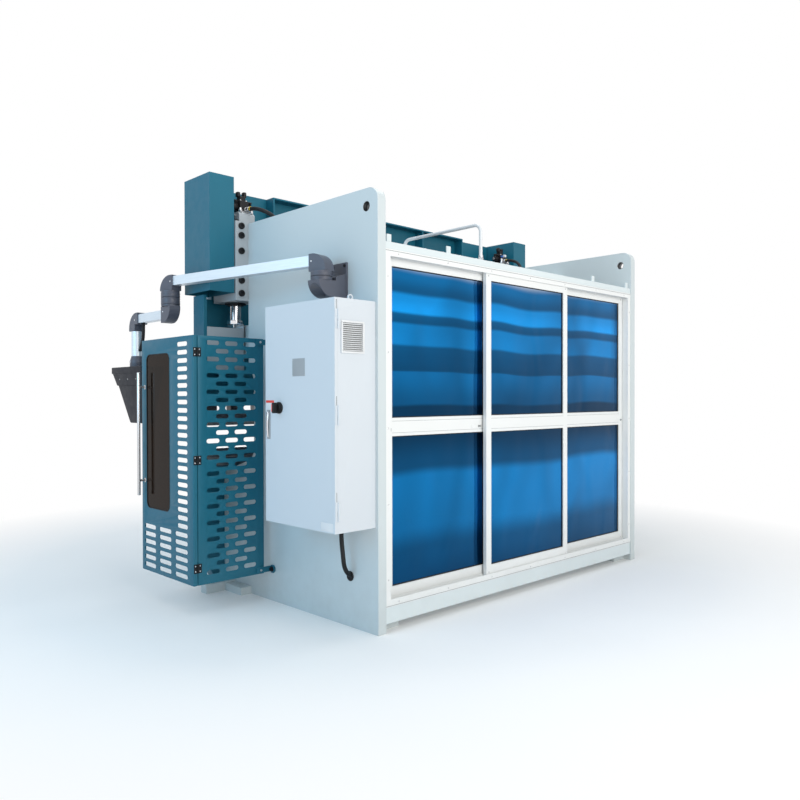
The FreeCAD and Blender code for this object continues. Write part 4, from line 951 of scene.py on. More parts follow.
def clamp_screws():
    """Two cap screws on the front of each punch clamp, and the plate that they hold."""
    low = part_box("punch_clamps")[0]
    middles = -RAM_HALF + (np.arange(CLAMP_COUNT) + 0.5) * 2 * RAM_HALF / CLAMP_COUNT
    screws, plates = [], []
    for x in middles:
        plate_low, plate_high = (x - 0.040, low.y - 0.004, 1.222), (x + 0.040, low.y + 0.001, 1.250)
        plates.append(soft_box(plate_low, plate_high, 0.0015, "y"))
        for dx in (-0.024, 0.024):
            screws.append(socket_screw(0.0075, 0.008, (x + dx, low.y - 0.004, 1.236), "y", -1.0))
    add_piece("clamp_screws", screws, "Valve black", "punch_clamps")
    add_piece("clamp_plates", plates, "Tool steel", "punch_clamps")


def bed_details():
    """The set screws on both faces of the die rail."""
    low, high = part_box("table_rail")
    screws = []
    for x in np.linspace(low.x + 0.08, high.x - 0.08, 17):
        screws.append(socket_screw(0.008, 0.006, (x, low.y, low.z + 0.032), "y", -1.0))
        screws.append(socket_screw(0.008, 0.006, (x, high.y, low.z + 0.032), "y", 1.0))
    add_piece("rail_screws", screws, "Valve black", "table_rail")


def tank_details():
    """The filler cap and the lid's screws of the oil tank, and the return pipe with its fittings."""
    low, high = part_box("oil_tank")
    top = high.z
    cap = [soft_disc(0.040, top, top + 0.006, 0.002, (-0.30, 0.78, 0.0)),
           soft_disc(0.033, top + 0.006, top + 0.040, 0.004, (-0.30, 0.78, 0.0))]
    add_piece("filler_cap", cap, "Black plastic", "oil_tank")
    screws = []
    for x in np.linspace(low.x + 0.05, high.x - 0.05, 15):
        for y in (low.y + 0.010, high.y - 0.010):
            screws.append(hexagon_head(0.0075, 0.005, (x, y, top)))
    add_piece("lid_screws", screws, "Screw steel", "oil_tank")
    pipe_low, pipe_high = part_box("return_pipe")
    x = (pipe_low.x + pipe_high.x) / 2
    tube = swept(ring_profile(PIPE_RADIUS, 24), pipe_line(x), upright=(1.0, 0.0, 0.0))
    piece = add_piece("oil_pipe", [tube], "White plastic", "return_pipe")
    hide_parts("return_pipe")
    ends = []
    for (y, z), nut_height in ((PIPE_FRONT, 0.016), (PIPE_REAR, 0.018)):
        ends += [soft_disc(0.019, z, z + 0.006, 0.001, (x, y, 0.0)),
                 hexagon_head(0.017, nut_height, (x, y, z + 0.006))]
    y, z = PIPE_REAR
    ends.append(soft_disc(0.0145, z + 0.024, z + 0.039, 0.002, (x, y, 0.0), "z", 28))
    add_piece("pipe_fittings", ends, "Screw steel", "return_pipe")


def pipe_line(x):
    """The bent pipe's middle line: straight runs and two quarter circles."""
    r = PIPE_BEND
    turn = np.linspace(0.0, math.pi / 2, 13)
    first = np.column_stack([PIPE_FRONT[0] + r - r * np.cos(turn), PIPE_TOP - r + r * np.sin(turn)])
    second = np.column_stack([PIPE_REAR[0] - r + r * np.sin(turn), PIPE_TOP - r + r * np.cos(turn)])
    flat = np.concatenate([[PIPE_FRONT], first, second, [PIPE_REAR]])
    return np.column_stack([np.full(len(flat), x), flat])


def gauge_details():
    """The cap screws on the back gauge's rails and on its fingers."""
    low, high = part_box("gauge_rails")
    screws = []
    for y in np.linspace(low.y + 0.06, high.y - 0.06, 8):
        for x in (0.960, 1.030):
            screws.append(socket_screw(0.007, 0.0035, (x, y, high.z)))
    add_piece("rail_cap_screws", both_sides(screws), "Screw steel", "gauge_rails")
    low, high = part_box("gauge_fingers")
    places = ((0.398, 0.726), (0.442, 0.726), (0.42, 0.480))
    screws = [socket_screw(0.006, 0.005, (x, y, high.z)) for x, y in places]
    add_piece("finger_screws", both_sides(screws), "Valve black", "gauge_fingers")


# Cylinders and valves

ROD_AXIS = (1.388, 0.187)
COIL_AXIS = (0.0, 0.259, 2.572)
COIL_RADIUS = 0.0238
PORT_HEIGHT = 2.528
BLOCK_BOLT_HEIGHTS = (2.427, 2.365, 2.263, 2.069, 1.985)

class PRESS_OT_cylinders(bpy.types.Operator):
    """Finish the cylinders, their bolts, valves, hose ends and covers."""
    bl_idname = "press_brake.cylinders"
    bl_label = "Cylinders"

    def execute(self, context):
        finish_node("cylinder_block_right", "Shaded block paint", 0.002)
        finish_node("cylinder_block_left", "Shaded block paint", 0.002)
        finish_node("cylinder_covers", "Teal paint", 0.0012)
        bolts = []
        for z in BLOCK_BOLT_HEIGHTS:
            bolts.append(socket_screw(0.0215, 0.014, (1.444, 0.350, z), "y", 1.0, 32))
        for x in (1.310, 1.466):
            for y in (0.090, 0.330):
                bolts.append(socket_screw(0.010, 0.010, (x, y, 2.458), "z", 1.0))
        add_piece("cylinder_bolts", both_sides(bolts), "Valve black", "cylinder_block_right")
        gland = []
        for radius, low, high in ((0.070, 1.925, 1.9372), (0.054, 1.917, 1.9255)):
            gland.append(ring_band(radius, 0.0405, low, high, ROD_AXIS))
        add_piece("rod_glands", both_sides(gland), "Valve black", "cylinder_block_right")
        valve_sets()
        hose_ends()
        return {"FINISHED"}


def ring_band(outer, inner, low, high, centre, axis="z"):
    """A ring with a rectangular section and turned edges, its centre in the plane square to the axis."""
    e = 0.0015
    profile = [(inner, low), (outer - e, low), (outer, low + e), (outer, high - e), (outer - e, high),
               (inner, high)]
    turn = np.arange(48) * 2 * math.pi / 48
    rows = np.asarray(profile)
    first = rows[None, :, 0] * np.cos(turn)[:, None] + centre[0]
    second = rows[None, :, 0] * np.sin(turn)[:, None] + centre[1]
    third = np.broadcast_to(rows[None, :, 1], (48, len(rows)))
    order = (first, second, third) if axis == "z" else (third, first, second)
    vertices, cells = loft(np.stack(order, -1), True)
    return vertices, [tuple(cell)[::-1] for cell in cells]


def valve_sets():
    """The valve on each manifold: body, two coils with their nuts and plugs, pilot and gauge ports."""
    black = [
        soft_box((1.357, 0.220, 2.541), (1.419, 0.298, 2.612), 0.003),
        soft_disc(COIL_RADIUS, 1.419, 1.470, 0.004, COIL_AXIS, "x", 40),
        soft_disc(COIL_RADIUS, 1.306, 1.357, 0.004, COIL_AXIS, "x", 40),
        soft_box((1.366, 0.240, 2.612), (1.410, 0.282, 2.646), 0.004),
        soft_box((1.353, 0.246, 2.640), (1.377, 0.276, 2.678), 0.006),
        soft_box((1.399, 0.244, 2.640), (1.423, 0.274, 2.674), 0.006),
        soft_box((1.428, 0.246, 2.594), (1.460, 0.274, 2.618), 0.003),
        soft_box((1.314, 0.246, 2.594), (1.346, 0.274, 2.618), 0.003),
        soft_disc(0.0065, 0.274, 0.292, 0.0015, (1.444, 0.0, 2.606), "y", 20),
        soft_disc(0.0065, 0.274, 0.292, 0.0015, (1.330, 0.0, 2.606), "y", 20),
    ]
    valves = add_piece("valve_bodies", both_sides(black), "Valve black", "valves")
    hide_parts("valves")
    bright = [
        soft_box((1.353, 0.216, 2.528), (1.423, 0.302, 2.541), 0.0015),
        hexagon_head(0.011, 0.010, (1.470, *COIL_AXIS[1:]), "x", 1.0),
        hexagon_head(0.011, 0.010, (1.306, *COIL_AXIS[1:]), "x", -1.0),
        hexagon_head(0.014, 0.014, (1.430, 0.318, PORT_HEIGHT), "z", 1.0),
        soft_disc(0.009, 2.542, 2.556, 0.002, (1.430, 0.318, 0.0), "z", 20),
        hexagon_head(0.014, 0.014, (1.345, 0.316, PORT_HEIGHT), "z", 1.0),
        soft_disc(0.010, 2.541, 2.571, 0.002, (1.345, 0.316, 0.0), "z", 20),
        hexagon_head(0.016, 0.012, (1.448, 0.228, 2.500), "x", 1.0),
        hexagon_head(0.016, 0.012, (1.448, 0.284, 2.500), "x", 1.0),
    ]
    for x in (1.366, 1.410):
        for y in (0.229, 0.289):
            bright.append(socket_screw(0.0055, 0.005, (x, y, 2.612), "z", 1.0))
    add_piece("valve_fittings", both_sides(bright), "Screw steel", "valves")
    add_piece("sensor_caps_white", [soft_box((-1.412, 0.296, 2.590), (-1.388, 0.320, 2.612), 0.003)],
              "White plastic", "valves")
    add_piece("sensor_caps_blue", [soft_box((-1.372, 0.297, 2.584), (-1.352, 0.317, 2.600), 0.003)],
              "Blue plastic", "valves")


def hose_ends():
    """The crimped ferrules and nuts at both ends of each oil hose, and its yellow marking ring."""
    x, y, z = HOSE_ROUTE[0]
    bright = [hexagon_head(0.0185, 0.013, (x, y - 0.001, z), "y", 1.0),
              soft_disc(0.0155, 0.013, 0.042, 0.002, (x, y, z), "y", 32)]
    x, y, z = HOSE_ROUTE[-1]
    bright += [soft_disc(0.024, 0.0, 0.005, 0.001, (x, y, z)),
               hexagon_head(0.0195, 0.014, (x, y, z + 0.005)),
               soft_disc(0.0158, 0.019, 0.046, 0.002, (x + 0.0012, y - 0.003, z), "z", 32)]
    add_piece("hose_ferrules", both_sides(bright), "Screw steel", "valve_hoses")
    x, y, z = HOSE_ROUTE[0]
    add_piece("hose_mark", both_sides([soft_disc(0.0138, 0.052, 0.060, 0.001, (x, y, z), "y", 32)]),
              "Yellow plastic", "valve_hoses")


# Rear fence

# Heights of the lower and the upper pane
PANES = ((0.2353, 1.080), (1.184, 2.036))


class PRESS_OT_fence(bpy.types.Operator):
    """Finish the rear fence and its sliding doors, with their gaskets, screws and latches."""
    bl_idname = "press_brake.fence"
    bl_label = "Rear fence"

    def execute(self, context):
        edge = context.scene.press_edges.sheet_edge
        finish_node("fence_frame", "Fence white", edge * 1.5)
        for name in ("near", "middle", "far"):
            finish_node(name + "_door_frame", "Fence white", edge * 2)
            finish_node(name + "_door_film", "Blue film", edge)
            door_trim(name)
        fence_trim()
        door_latches()
        return {"FINISHED"}


def door_trim(name):
    """A door's glazing gaskets, its screws and grey lines of painted shade for the grooves along its middle
    rail.
    """
    low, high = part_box(name + "_door_film")
    frame_low, frame_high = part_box(name + "_door_frame")
    owner = name + "_door_frame"
    rows = np.array([(-0.0055, 0.0), (-0.0055, 0.002), (-0.003, 0.0045), (0.0, 0.0045), (0.0, 0.0)])
    strips = []
    for z0, z1 in PANES:
        loop = rounded_outline((high.x - low.x) / 2, (z1 - z0) / 2, 0.002, 2)
        loop = loop + np.array([(high.x + low.x) / 2, (z1 + z0) / 2])
        for level, side in ((high.y, 1.0), (low.y, -1.0)):
            strips.append(rim_strip(loop, rows * (1.0, side), "y", level))
    add_object(name + "_door_gaskets", cleaned(mesh_from(name + "_door_gaskets", strips)), "Rubber", owner)
    y = frame_low.y + 0.026
    caps = []
    for x in (frame_low.x + 0.025, frame_high.x - 0.025):
        for z in (0.190, 2.066):
            caps.append(dome_head(0.0055, 0.0022, (x, y, z), "y", 1.0))
    add_piece(name + "_door_screws", caps, "Screw steel", owner)
    # Grey lines on the middle rail: painted shade where its two grooves are
    grooves = []
    for z in (1.099, 1.165):
        start, end = (low.x + 0.0005, y - 0.0004, z - 0.001), (high.x - 0.0005, y + 0.0003, z + 0.001)
        grooves.append(soft_box(start, end, 0.0002, "x"))
    add_piece(name + "_door_groove_shade", grooves, "Plate grey", owner)


def door_latches():
    """The small turn latches on the sliding doors' middle rails."""
    for name, places in (("near", (1.262, 0.478)), ("far", (-1.262,))):
        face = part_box(name + "_door_frame")[1].y
        surfaces = []
        for x in places:
            surfaces += [
                soft_box((x - 0.019, face - 0.0031, 1.108), (x + 0.019, face - 0.0012, 1.126), 0.0008, "y"),
                soft_disc(0.0075, face - 0.002, face + 0.003, 0.001, (x + 0.007, 0.0, 1.117), "y", 28),
                soft_box((x - 0.013, face - 0.002, 1.1135), (x + 0.006, face + 0.0015, 1.1205), 0.0012, "y")]
        add_piece(name + "_door_latches", surfaces, "Tool steel", name + "_door_frame")


def fence_trim():
    """The cover strips and screws of the fence's frame."""
    low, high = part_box("fence_frame")
    face = high.y
    strips = []
    for z in (low.z + 0.004, high.z - 0.010):
        start, end = (low.x + 0.001, face - 0.0002, z), (high.x - 0.001, face + 0.0012, z + 0.003)
        strips.append(soft_box(start, end, 0.0004, "x"))
    add_piece("fence_strips", strips, "Plate grey", "fence_frame")
    places = []
    for x in np.linspace(low.x + 0.10, high.x - 0.10, 7):
        places += [(x, high.z - 0.022), (x, low.z + 0.020)]
    for x in (low.x + 0.020, high.x - 0.020):
        places += [(x, z) for z in np.linspace(low.z + 0.15, high.z - 0.15, 5)]
    screws = [dome_head(0.005, 0.002, (x, face, z), "y", 1.0) for x, z in places]
    add_piece("fence_screws", screws, "Screw steel", "fence_frame")


# Electrical cabinet

CABLE_HOLE = (0.0, 1.386, 0.289)
CABINET_HINGE_FEET = (0.704, 1.206, 1.710)
SLAT_COUNT = 14


class PRESS_OT_cabinet(bpy.types.Operator):
    """Finish the electrical cabinet, its handle, switch, vent and plates."""
    bl_idname = "press_brake.cabinet"
    bl_label = "Cabinet"

    def execute(self, context):
        finish_node("cabinet_body", "Cabinet coat", 0.001)
        finish_node("cabinet_door", "Cabinet coat", 0.0015)
        cabinet_vent()
        cabinet_handle()
        switch()
        plates()
        return {"FINISHED"}


def cabinet_vent():
    """The vent's moulded frame with sloping slats over a dark filter."""
    low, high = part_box("cabinet_vent")
    wall = 0.011
    surfaces = box_ring((low.x, low.y, low.z), (high.x, high.y, high.z), wall, 0.0022, "y")
    inner_low, inner_high = low.z + wall, high.z - wall
    pitch = (inner_high - inner_low) / SLAT_COUNT
    section = np.array([(-0.0005, 0.0), (-0.0005, 0.0030), (0.0070, 0.0084), (0.0084, 0.0080),
                        (0.0084, 0.0052), (0.0070, 0.0044)])
    ends = (low.x + wall - 0.001, high.x - wall + 0.001)
    for k in range(SLAT_COUNT):
        rows = section * (1.0, -1.0) + (low.y, inner_low + (k + 0.95) * pitch)
        surfaces.append(loft([np.column_stack([np.full(len(rows), x), rows]) for x in ends]))
    mesh = cleaned(mesh_from("vent_grille", surfaces))
    piece = add_object("vent_grille", mesh, "White plastic", "cabinet_vent")
    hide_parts("cabinet_vent")
    start = (low.x + 0.008, low.y - 0.010, low.z + 0.008)
    filter_box = soft_box(start, (high.x - 0.008, low.y - 0.003, high.z - 0.008), 0.001, "y")
    add_piece("vent_filter", [filter_box], "Clamp steel", "cabinet_vent")


def cabinet_handle():
    """The chromed swing handle: a base plate, a bowed lever and its lock."""
    low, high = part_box("cabinet_handle")
    y = (low.y + high.y) / 2
    base = [soft_box((low.x, low.y, low.z), (low.x + 0.006, high.y, high.z), 0.0028, "x", 4)]
    piece = add_piece("handle_base", base, "Plate grey", "cabinet_handle")
    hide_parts("cabinet_handle")
    z = np.linspace(low.z + 0.010, high.z - 0.014, 15)
    share = (z - z[0]) / (z[-1] - z[0])
    x = low.x + 0.0085 + 0.0045 * np.sin(share * math.pi)
    path = np.column_stack([x, np.full(15, y), z])
    width = 0.82 + 0.3 * share
    profile = rounded_outline(0.0085, 0.0036, 0.0034, 3)
    lever = swept(profile, path, scale=width, upright=(1.0, 0.0, 0.0))
    lock = soft_disc(0.0085, 0.0, 0.0105, 0.002, (low.x + 0.004, y, high.z - 0.018), "x", 32)
    add_piece("handle_lever", [lever, lock], "Chrome", "cabinet_handle")
    start, end = (low.x + 0.0142, y - 0.001, high.z - 0.022), (low.x + 0.0150, y + 0.001, high.z - 0.014)
    keyhole = soft_box(start, end, 0.0003, "x")
    add_piece("handle_keyhole", [keyhole], "Valve black", "cabinet_handle")


def switch():
    """The main switch: a black dial and grip with a red insert."""
    low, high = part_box("main_switch")
    y, z = (low.y + high.y) / 2, (low.z + high.z) / 2
    x = low.x
    radius = (high.y - low.y) / 2
    profile = [(radius, 0.0), (radius, 0.009), (radius * 0.94, 0.0115), (radius * 0.80, 0.0125),
               (radius * 0.78, 0.016), (radius * 0.70, 0.018), (0.0004, 0.018)]
    dial = revolve(profile, (x, y, z), "x", 40)
    grip = soft_box((x + 0.012, y - 0.010, z - 0.030), (high.x - 0.001, y + 0.010, z + 0.030), 0.006, "x", 4)
    piece = add_piece("switch_dial", [dial, grip], "Black plastic", "main_switch")
    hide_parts("main_switch")
    insert = soft_box((x + 0.020, y - 0.0106, z - 0.022), (high.x, y - 0.001, z + 0.022), 0.004, "x", 4)
    add_piece("switch_insert", [insert], "Red plastic", "main_switch")


def plates():
    """The cabinet door's blank plates, the strips at its hinges, and the conduit's gland and grommet."""
    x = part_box("cabinet_door")[1].x

    def plate(name, y0, y1, z0, z1, finish, thick=0.0009):
        surface = soft_box((x - 0.0002, y0, z0), (x + thick, y1, z1), 0.0004, "x", 2)
        add_piece(name, [surface], finish, "cabinet_door")

    gaps = []
    for z in CABINET_HINGE_FEET:
        gaps.append(soft_box((1.6625, 1.5992, z), (1.6642, 1.6009, z + 0.100), 0.0004))
    add_piece("door_gap", gaps, "Rubber", "cabinet_body")
    plate("door_plate", 1.232, 1.346, 1.416, 1.513, "Plate grey")
    plate("door_plate_low", 1.482, 1.583, 0.595, 0.640, "White plastic")
    plate("switch_plate", 0.978, 1.052, 1.212, 1.268, "White plastic")
    plate("switch_strip", 0.976, 1.054, 1.269, 1.283, "Red plastic", 0.0011)
    screws = []
    for y, z in ((1.237, 1.421), (1.341, 1.421), (1.237, 1.508), (1.341, 1.508)):
        screws.append(dome_head(0.0022, 0.0012, (x + 0.0009, y, z), "x", 1.0, 14))
    add_piece("plate_rivets", screws, "Screw steel", "cabinet_door")
    gland_x, gland_y, gland_z = CONDUIT_ROUTE[0]
    gland = [hexagon_head(0.023, 0.010, (gland_x, gland_y, gland_z), "z", -1.0),
             soft_disc(0.0185, -0.030, -0.010, 0.003, (gland_x, gland_y, gland_z), "z", 32)]
    add_piece("conduit_gland", gland, "Black plastic", "cabinet_conduit")
    grommet = soft_disc(0.0285, 1.3895, 1.3955, 0.002, CABLE_HOLE, "x", 40)
    add_piece("conduit_grommet", [grommet], "Rubber", "cabinet_conduit")


# Side guards

SHEET = 0.003
SHEET_ROUND = 0.0006
FOLD = 0.006
SLOT_HEIGHT = 0.027
REAR_ROW_STEP = 0.0493
DOOR_ROW_STEP = 0.050
LOW_ROW_STEP = 0.0496
WINDOW_OVERLAP = 0.020
GUARD_FACE = 1.934
HINGE_MIDDLES = (0.284, 0.927, 1.570)
LUG_HEIGHTS = (0.206, 1.648)


def slot_rows(count, top, rise):
    """Heights of a column's slots, from the top one down."""
    return top - rise * np.arange(count)


def folded_edge(corner, inwards, end, z0, z1, sign, along):
    """A sheet's rounded fold and the flange behind it, from its lower to its upper end.

    The corner is its (edge, face) place, inwards points to the sheet's middle, end is where the flange
    stops, and along is the axis that the sheet runs along.
    """
    edge, face = corner
    arc = np.linspace(0, math.pi / 2, 6)
    rows = []
    for radius in (FOLD, FOLD - SHEET):
        rows.append(np.column_stack([edge + inwards * (FOLD - radius * np.sin(arc)),
                                     face - FOLD + radius * np.cos(arc)]))
    ring = np.concatenate([rows[0], [(edge, end)], [(edge + inwards * SHEET, end)], rows[1][::-1]])
    ring = ring[:, ::-1] if along == "y" else ring
    ring[:, 0] *= sign
    return loft([np.column_stack([ring, np.full(len(ring), z)]) for z in (z0, z1)])


def guard_sheets(side, sign):
    """The two punched sheets of one guard, with their folds."""
    rear, door = "guard_rear_" + side, "guard_door_" + side
    low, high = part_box(rear)
    x_outer = max(abs(low.x), abs(high.x))
    x_inner = min(abs(low.x), abs(high.x))
    z0, z1, y1 = low.z, high.z, high.y
    holes = []
    for row, z in enumerate(slot_rows(29, z1 - 0.040, REAR_ROW_STEP)):
        shift = row % 2
        for column in range(3 - shift):
            x = x_outer - 0.102 - (column + shift / 2) * 0.1285
            holes.append(obround(sign * x, z, 0.088, SLOT_HEIGHT))
    outline = upright_outline(x_inner + FOLD, x_outer - FOLD, z0, z1) * (sign, 1.0)
    flat = sheet_mesh("rear_flat_" + side, outline, holes, SHEET, SHEET_ROUND)
    placed_sheet(flat, "y", y1 - SHEET / 2)
    surfaces = [surface_of(flat)]
    for x, inwards in ((x_inner, 1.0), (x_outer, -1.0)):
        surfaces.append(folded_edge((x, y1), inwards, low.y, z0, z1, sign, "x"))
    mesh = cleaned(mesh_from("guard_rear_sheet_" + side, surfaces))
    piece = add_object("guard_rear_sheet_" + side, mesh, "Teal paint", rear)
    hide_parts(rear)

    low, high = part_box(door)
    x1 = max(abs(low.x), abs(high.x))
    x_return = min(abs(low.x), abs(high.x))
    y0, y1 = low.y, high.y
    holes = [obround(y1 - 0.133, z, 0.124, SLOT_HEIGHT) for z in slot_rows(23, z1 - 0.047, DOOR_ROW_STEP)]
    for column in range(3):
        y = y1 - 0.149 - 0.205 * column
        rows = slot_rows(6, z0 + 0.041 + 5 * LOW_ROW_STEP, LOW_ROW_STEP)
        holes += [obround(y, z, 0.152, SLOT_HEIGHT) for z in rows]
    holes.append(window_outline(side))
    outline = upright_outline(y0 + FOLD, y1 - FOLD, z0, z1)
    flat = sheet_mesh("door_flat_" + side, outline, holes, SHEET, SHEET_ROUND)
    placed_sheet(flat, "x", sign * (x1 - SHEET / 2))
    surfaces = [surface_of(flat)]
    for y, inwards, reach in ((y0, 1.0, x1 - 0.025), (y1, -1.0, x_return)):
        surfaces.append(folded_edge((y, x1), inwards, reach, z0, z1, sign, "y"))
    mesh = cleaned(mesh_from("guard_door_sheet_" + side, surfaces))
    piece = add_object("guard_door_sheet_" + side, mesh, "Teal paint", door)
    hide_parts(door)


def upright_outline(u0, u1, z0, z1):
    """A rectangle's four corners, from its lower first one."""
    return np.array([(u0, z0), (u1, z0), (u1, z1), (u0, z1)])


def window_outline(side):
    """The opening in a guard's door: the tinted sheet's outline, less its overlap all round."""
    low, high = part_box("guard_window_" + side)
    half_y, half_z = (high.y - low.y) / 2 - WINDOW_OVERLAP, (high.z - low.z) / 2 - WINDOW_OVERLAP
    return rounded_outline(half_y, half_z, 0.040, 8) + ((high.y + low.y) / 2, (high.z + low.z) / 2)


def cleaned(mesh):
    """The same mesh with its doubles merged and its faces turned outwards."""
    work = bmesh.new()
    work.from_mesh(mesh)
    bmesh.ops.remove_doubles(work, verts=work.verts, dist=1e-6)
    bmesh.ops.recalc_face_normals(work, faces=work.faces)
    work.to_mesh(mesh)
    work.free()
    return mesh


class PRESS_OT_guards(bpy.types.Operator):
    """Build the punched side guards with their windows, hinges and handles."""
    bl_idname = "press_brake.guards"
    bl_label = "Side guards"

    def execute(self, context):
        for side, sign in SIDES:
            guard_sheets(side, sign)
            finish_node("guard_window_" + side, "Brown sheet", 0.0008)
            finish_node("guard_hinge_leaves_" + side, "Black plastic", 0.0006)
            guard_handle(side, sign)
            window_gasket(side, sign)
        finish_node("guard_hinges", "Black plastic", 0.0006)
        finish_node("guard_brackets", "Teal paint", 0.0012)
        hinge_screws()
        return {"FINISHED"}


def guard_handle(side, sign):
    """The stainless tube handle with closed ends on two turned standoffs."""
    name = "guard_handle_" + side
    low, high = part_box(name)
    face = min(abs(low.x), abs(high.x))
    x = max(abs(low.x), abs(high.x)) - 0.0102
    y = (low.y + high.y) / 2
    surfaces = [soft_disc(0.0101, low.z, high.z, 0.003, (x, y, 0.0), "z", 32)]
    for z in (low.z + 0.095, high.z - 0.095):
        profile = [(0.014, face), (0.014, face + 0.003), (0.0085, face + 0.005), (0.0075, face + 0.012),
                   (0.0075, x - 0.004)]
        surfaces.append(revolve(profile, (0.0, y, z), "x", 28))
    if sign < 0:
        surfaces = [mirrored(surface) for surface in surfaces]
    piece = add_piece("bar_handle_" + side, surfaces, "Stainless", name)
    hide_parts(name)


def window_gasket(side, sign):
    """The dark rubber edge that holds the tinted sheet in the guard door's opening."""
    rows = np.array([(-0.004, -0.0035), (-0.004, 0.0004), (-0.0015, 0.0012), (0.0018, 0.0009),
                     (0.0018, -0.0002), (0.0, -0.0035)]) * (1.0, sign)
    strip = rim_strip(window_outline(side), rows, "x", GUARD_FACE * sign)
    mesh = cleaned(mesh_from("window_edge_" + side, [strip]))
    add_object("window_edge_" + side, mesh, "Rubber", "guard_window_" + side)


def hinge_screws():
    """Four silver screws on each guard hinge, and the black bolts in the lugs on the side frames."""
    fixed, turning = [], []
    for middle in HINGE_MIDDLES:
        for z in (middle - 0.016, middle + 0.016):
            fixed.append(dome_head(0.0042, 0.0018, (1.893, 0.603, z), "y", 1.0, 18))
            turning.append(dome_head(0.0042, 0.0018, (1.923, 0.603, z), "y", 1.0, 18))
    add_piece("hinge_screws_fixed", both_sides(fixed), "Screw steel", "guard_hinges")
    add_piece("hinge_screws_right", turning, "Screw steel", "guard_hinge_leaves_right")
    other = [mirrored(surface) for surface in turning]
    add_piece("hinge_screws_left", other, "Screw steel", "guard_hinge_leaves_left")
    bolts = []
    for z in LUG_HEIGHTS:
        bolts.append(soft_disc(0.017, 1.400, 1.4025, 0.0008, (0.0, 0.627, z), "x", 32))
        bolts.append(socket_screw(0.012, 0.011, (1.4025, 0.627, z), "x", 1.0))
    add_piece("lug_bolts", both_sides(bolts), "Valve black", "guard_brackets")
    rear = []
    for z in LUG_HEIGHTS:
        rear.append(hexagon_head(0.0075, 0.005, (1.470, 0.608, z), "y", 1.0))
    add_piece("bracket_screws", both_sides(rear), "Screw steel", "guard_brackets")


# Pendant arm and console

ARM_PIVOT = (1.535, 1.314)
ELBOW_PIVOT = (1.7752, 0.0181)
ARM_TURN = math.radians(10.5)
COLLAR_RADIUS = 0.0612
SOCKET_HALF = 0.0379
KEY_HEIGHT = 1.262
SELECTOR_HEIGHT = 1.215
STOP_HEIGHT = 1.252


class PRESS_OT_arm(bpy.types.Operator):
    """Finish the pendant arm and the operator console."""
    bl_idname = "press_brake.arm"
    bl_label = "Pendant arm"

    def execute(self, context):
        for name in ("arm_bracket", "arm_elbow_one", "arm_elbow_two", "arm_elbow_two_lower",
                     "arm_elbow_three"):
            finish_node(name, "Elbow coat", 0.009, 5)
        for name in ("first_arm", "second_arm"):
            finish_node(name, "Anodised", 0.005, 4)
        finish_node("drop_tube", "Anodised", 0.002)
        elbow_rings()
        elbow_screws()
        neck()
        console_shell()
        console_details()
        return {"FINISHED"}


def collar(radius, low, high, centre, grooves=1):
    """A turned collar with shallow grooves round it: the profile dips at each groove."""
    rows = [(radius - 0.006, low), (radius - 0.0012, low), (radius, low + 0.0012)]
    for k in range(grooves):
        z = low + (high - low) * (k + 1) / (grooves + 1)
        rows += [(radius, z - 0.0022), (radius - 0.0022, z - 0.0010),
                 (radius - 0.0022, z + 0.0010), (radius, z + 0.0022)]
    rows += [(radius, high - 0.0012), (radius - 0.0012, high), (radius - 0.006, high)]
    return revolve(rows, (*centre, 0.0), "z", 64)


def elbow_rings():
    """The turned collars at the arm's joints, with a dark seal under each."""
    for name, low, high, centre, owner, grooves in (
            ("collar_one_fixed", 1.955, 1.968, ARM_PIVOT, "arm_bracket", 1),
            ("collar_one", 1.9735, 1.996, ARM_PIVOT, "arm_elbow_one", 1),
            ("collar_two", 1.9590, 1.990, ELBOW_PIVOT, "arm_elbow_two", 1),
            ("collar_two_lower", 1.912, 1.9540, ELBOW_PIVOT, "arm_elbow_two_lower", 2)):
        add_piece(name, [collar(COLLAR_RADIUS, low, high, centre, grooves)], "Elbow coat", owner, 50)
    for name, places, centre, owner in (
            ("seal_one", ((1.9682, 1.9733),), ARM_PIVOT, "arm_elbow_one"),
            ("seals_two", ((1.9542, 1.9588), (1.9075, 1.9122)), ELBOW_PIVOT, "arm_elbow_two_lower")):
        bands = [ring_band(0.0606, 0.0500, low, high, centre) for low, high in places]
        add_piece(name, bands, "Rubber", owner)


def socket_screws(x, y, z):
    """A set screw on each cheek of an arm's socket."""
    return [dome_head(0.0055, 0.0025, (x + sign * SOCKET_HALF, y, z), "x", sign, 18) for sign in (1.0, -1.0)]


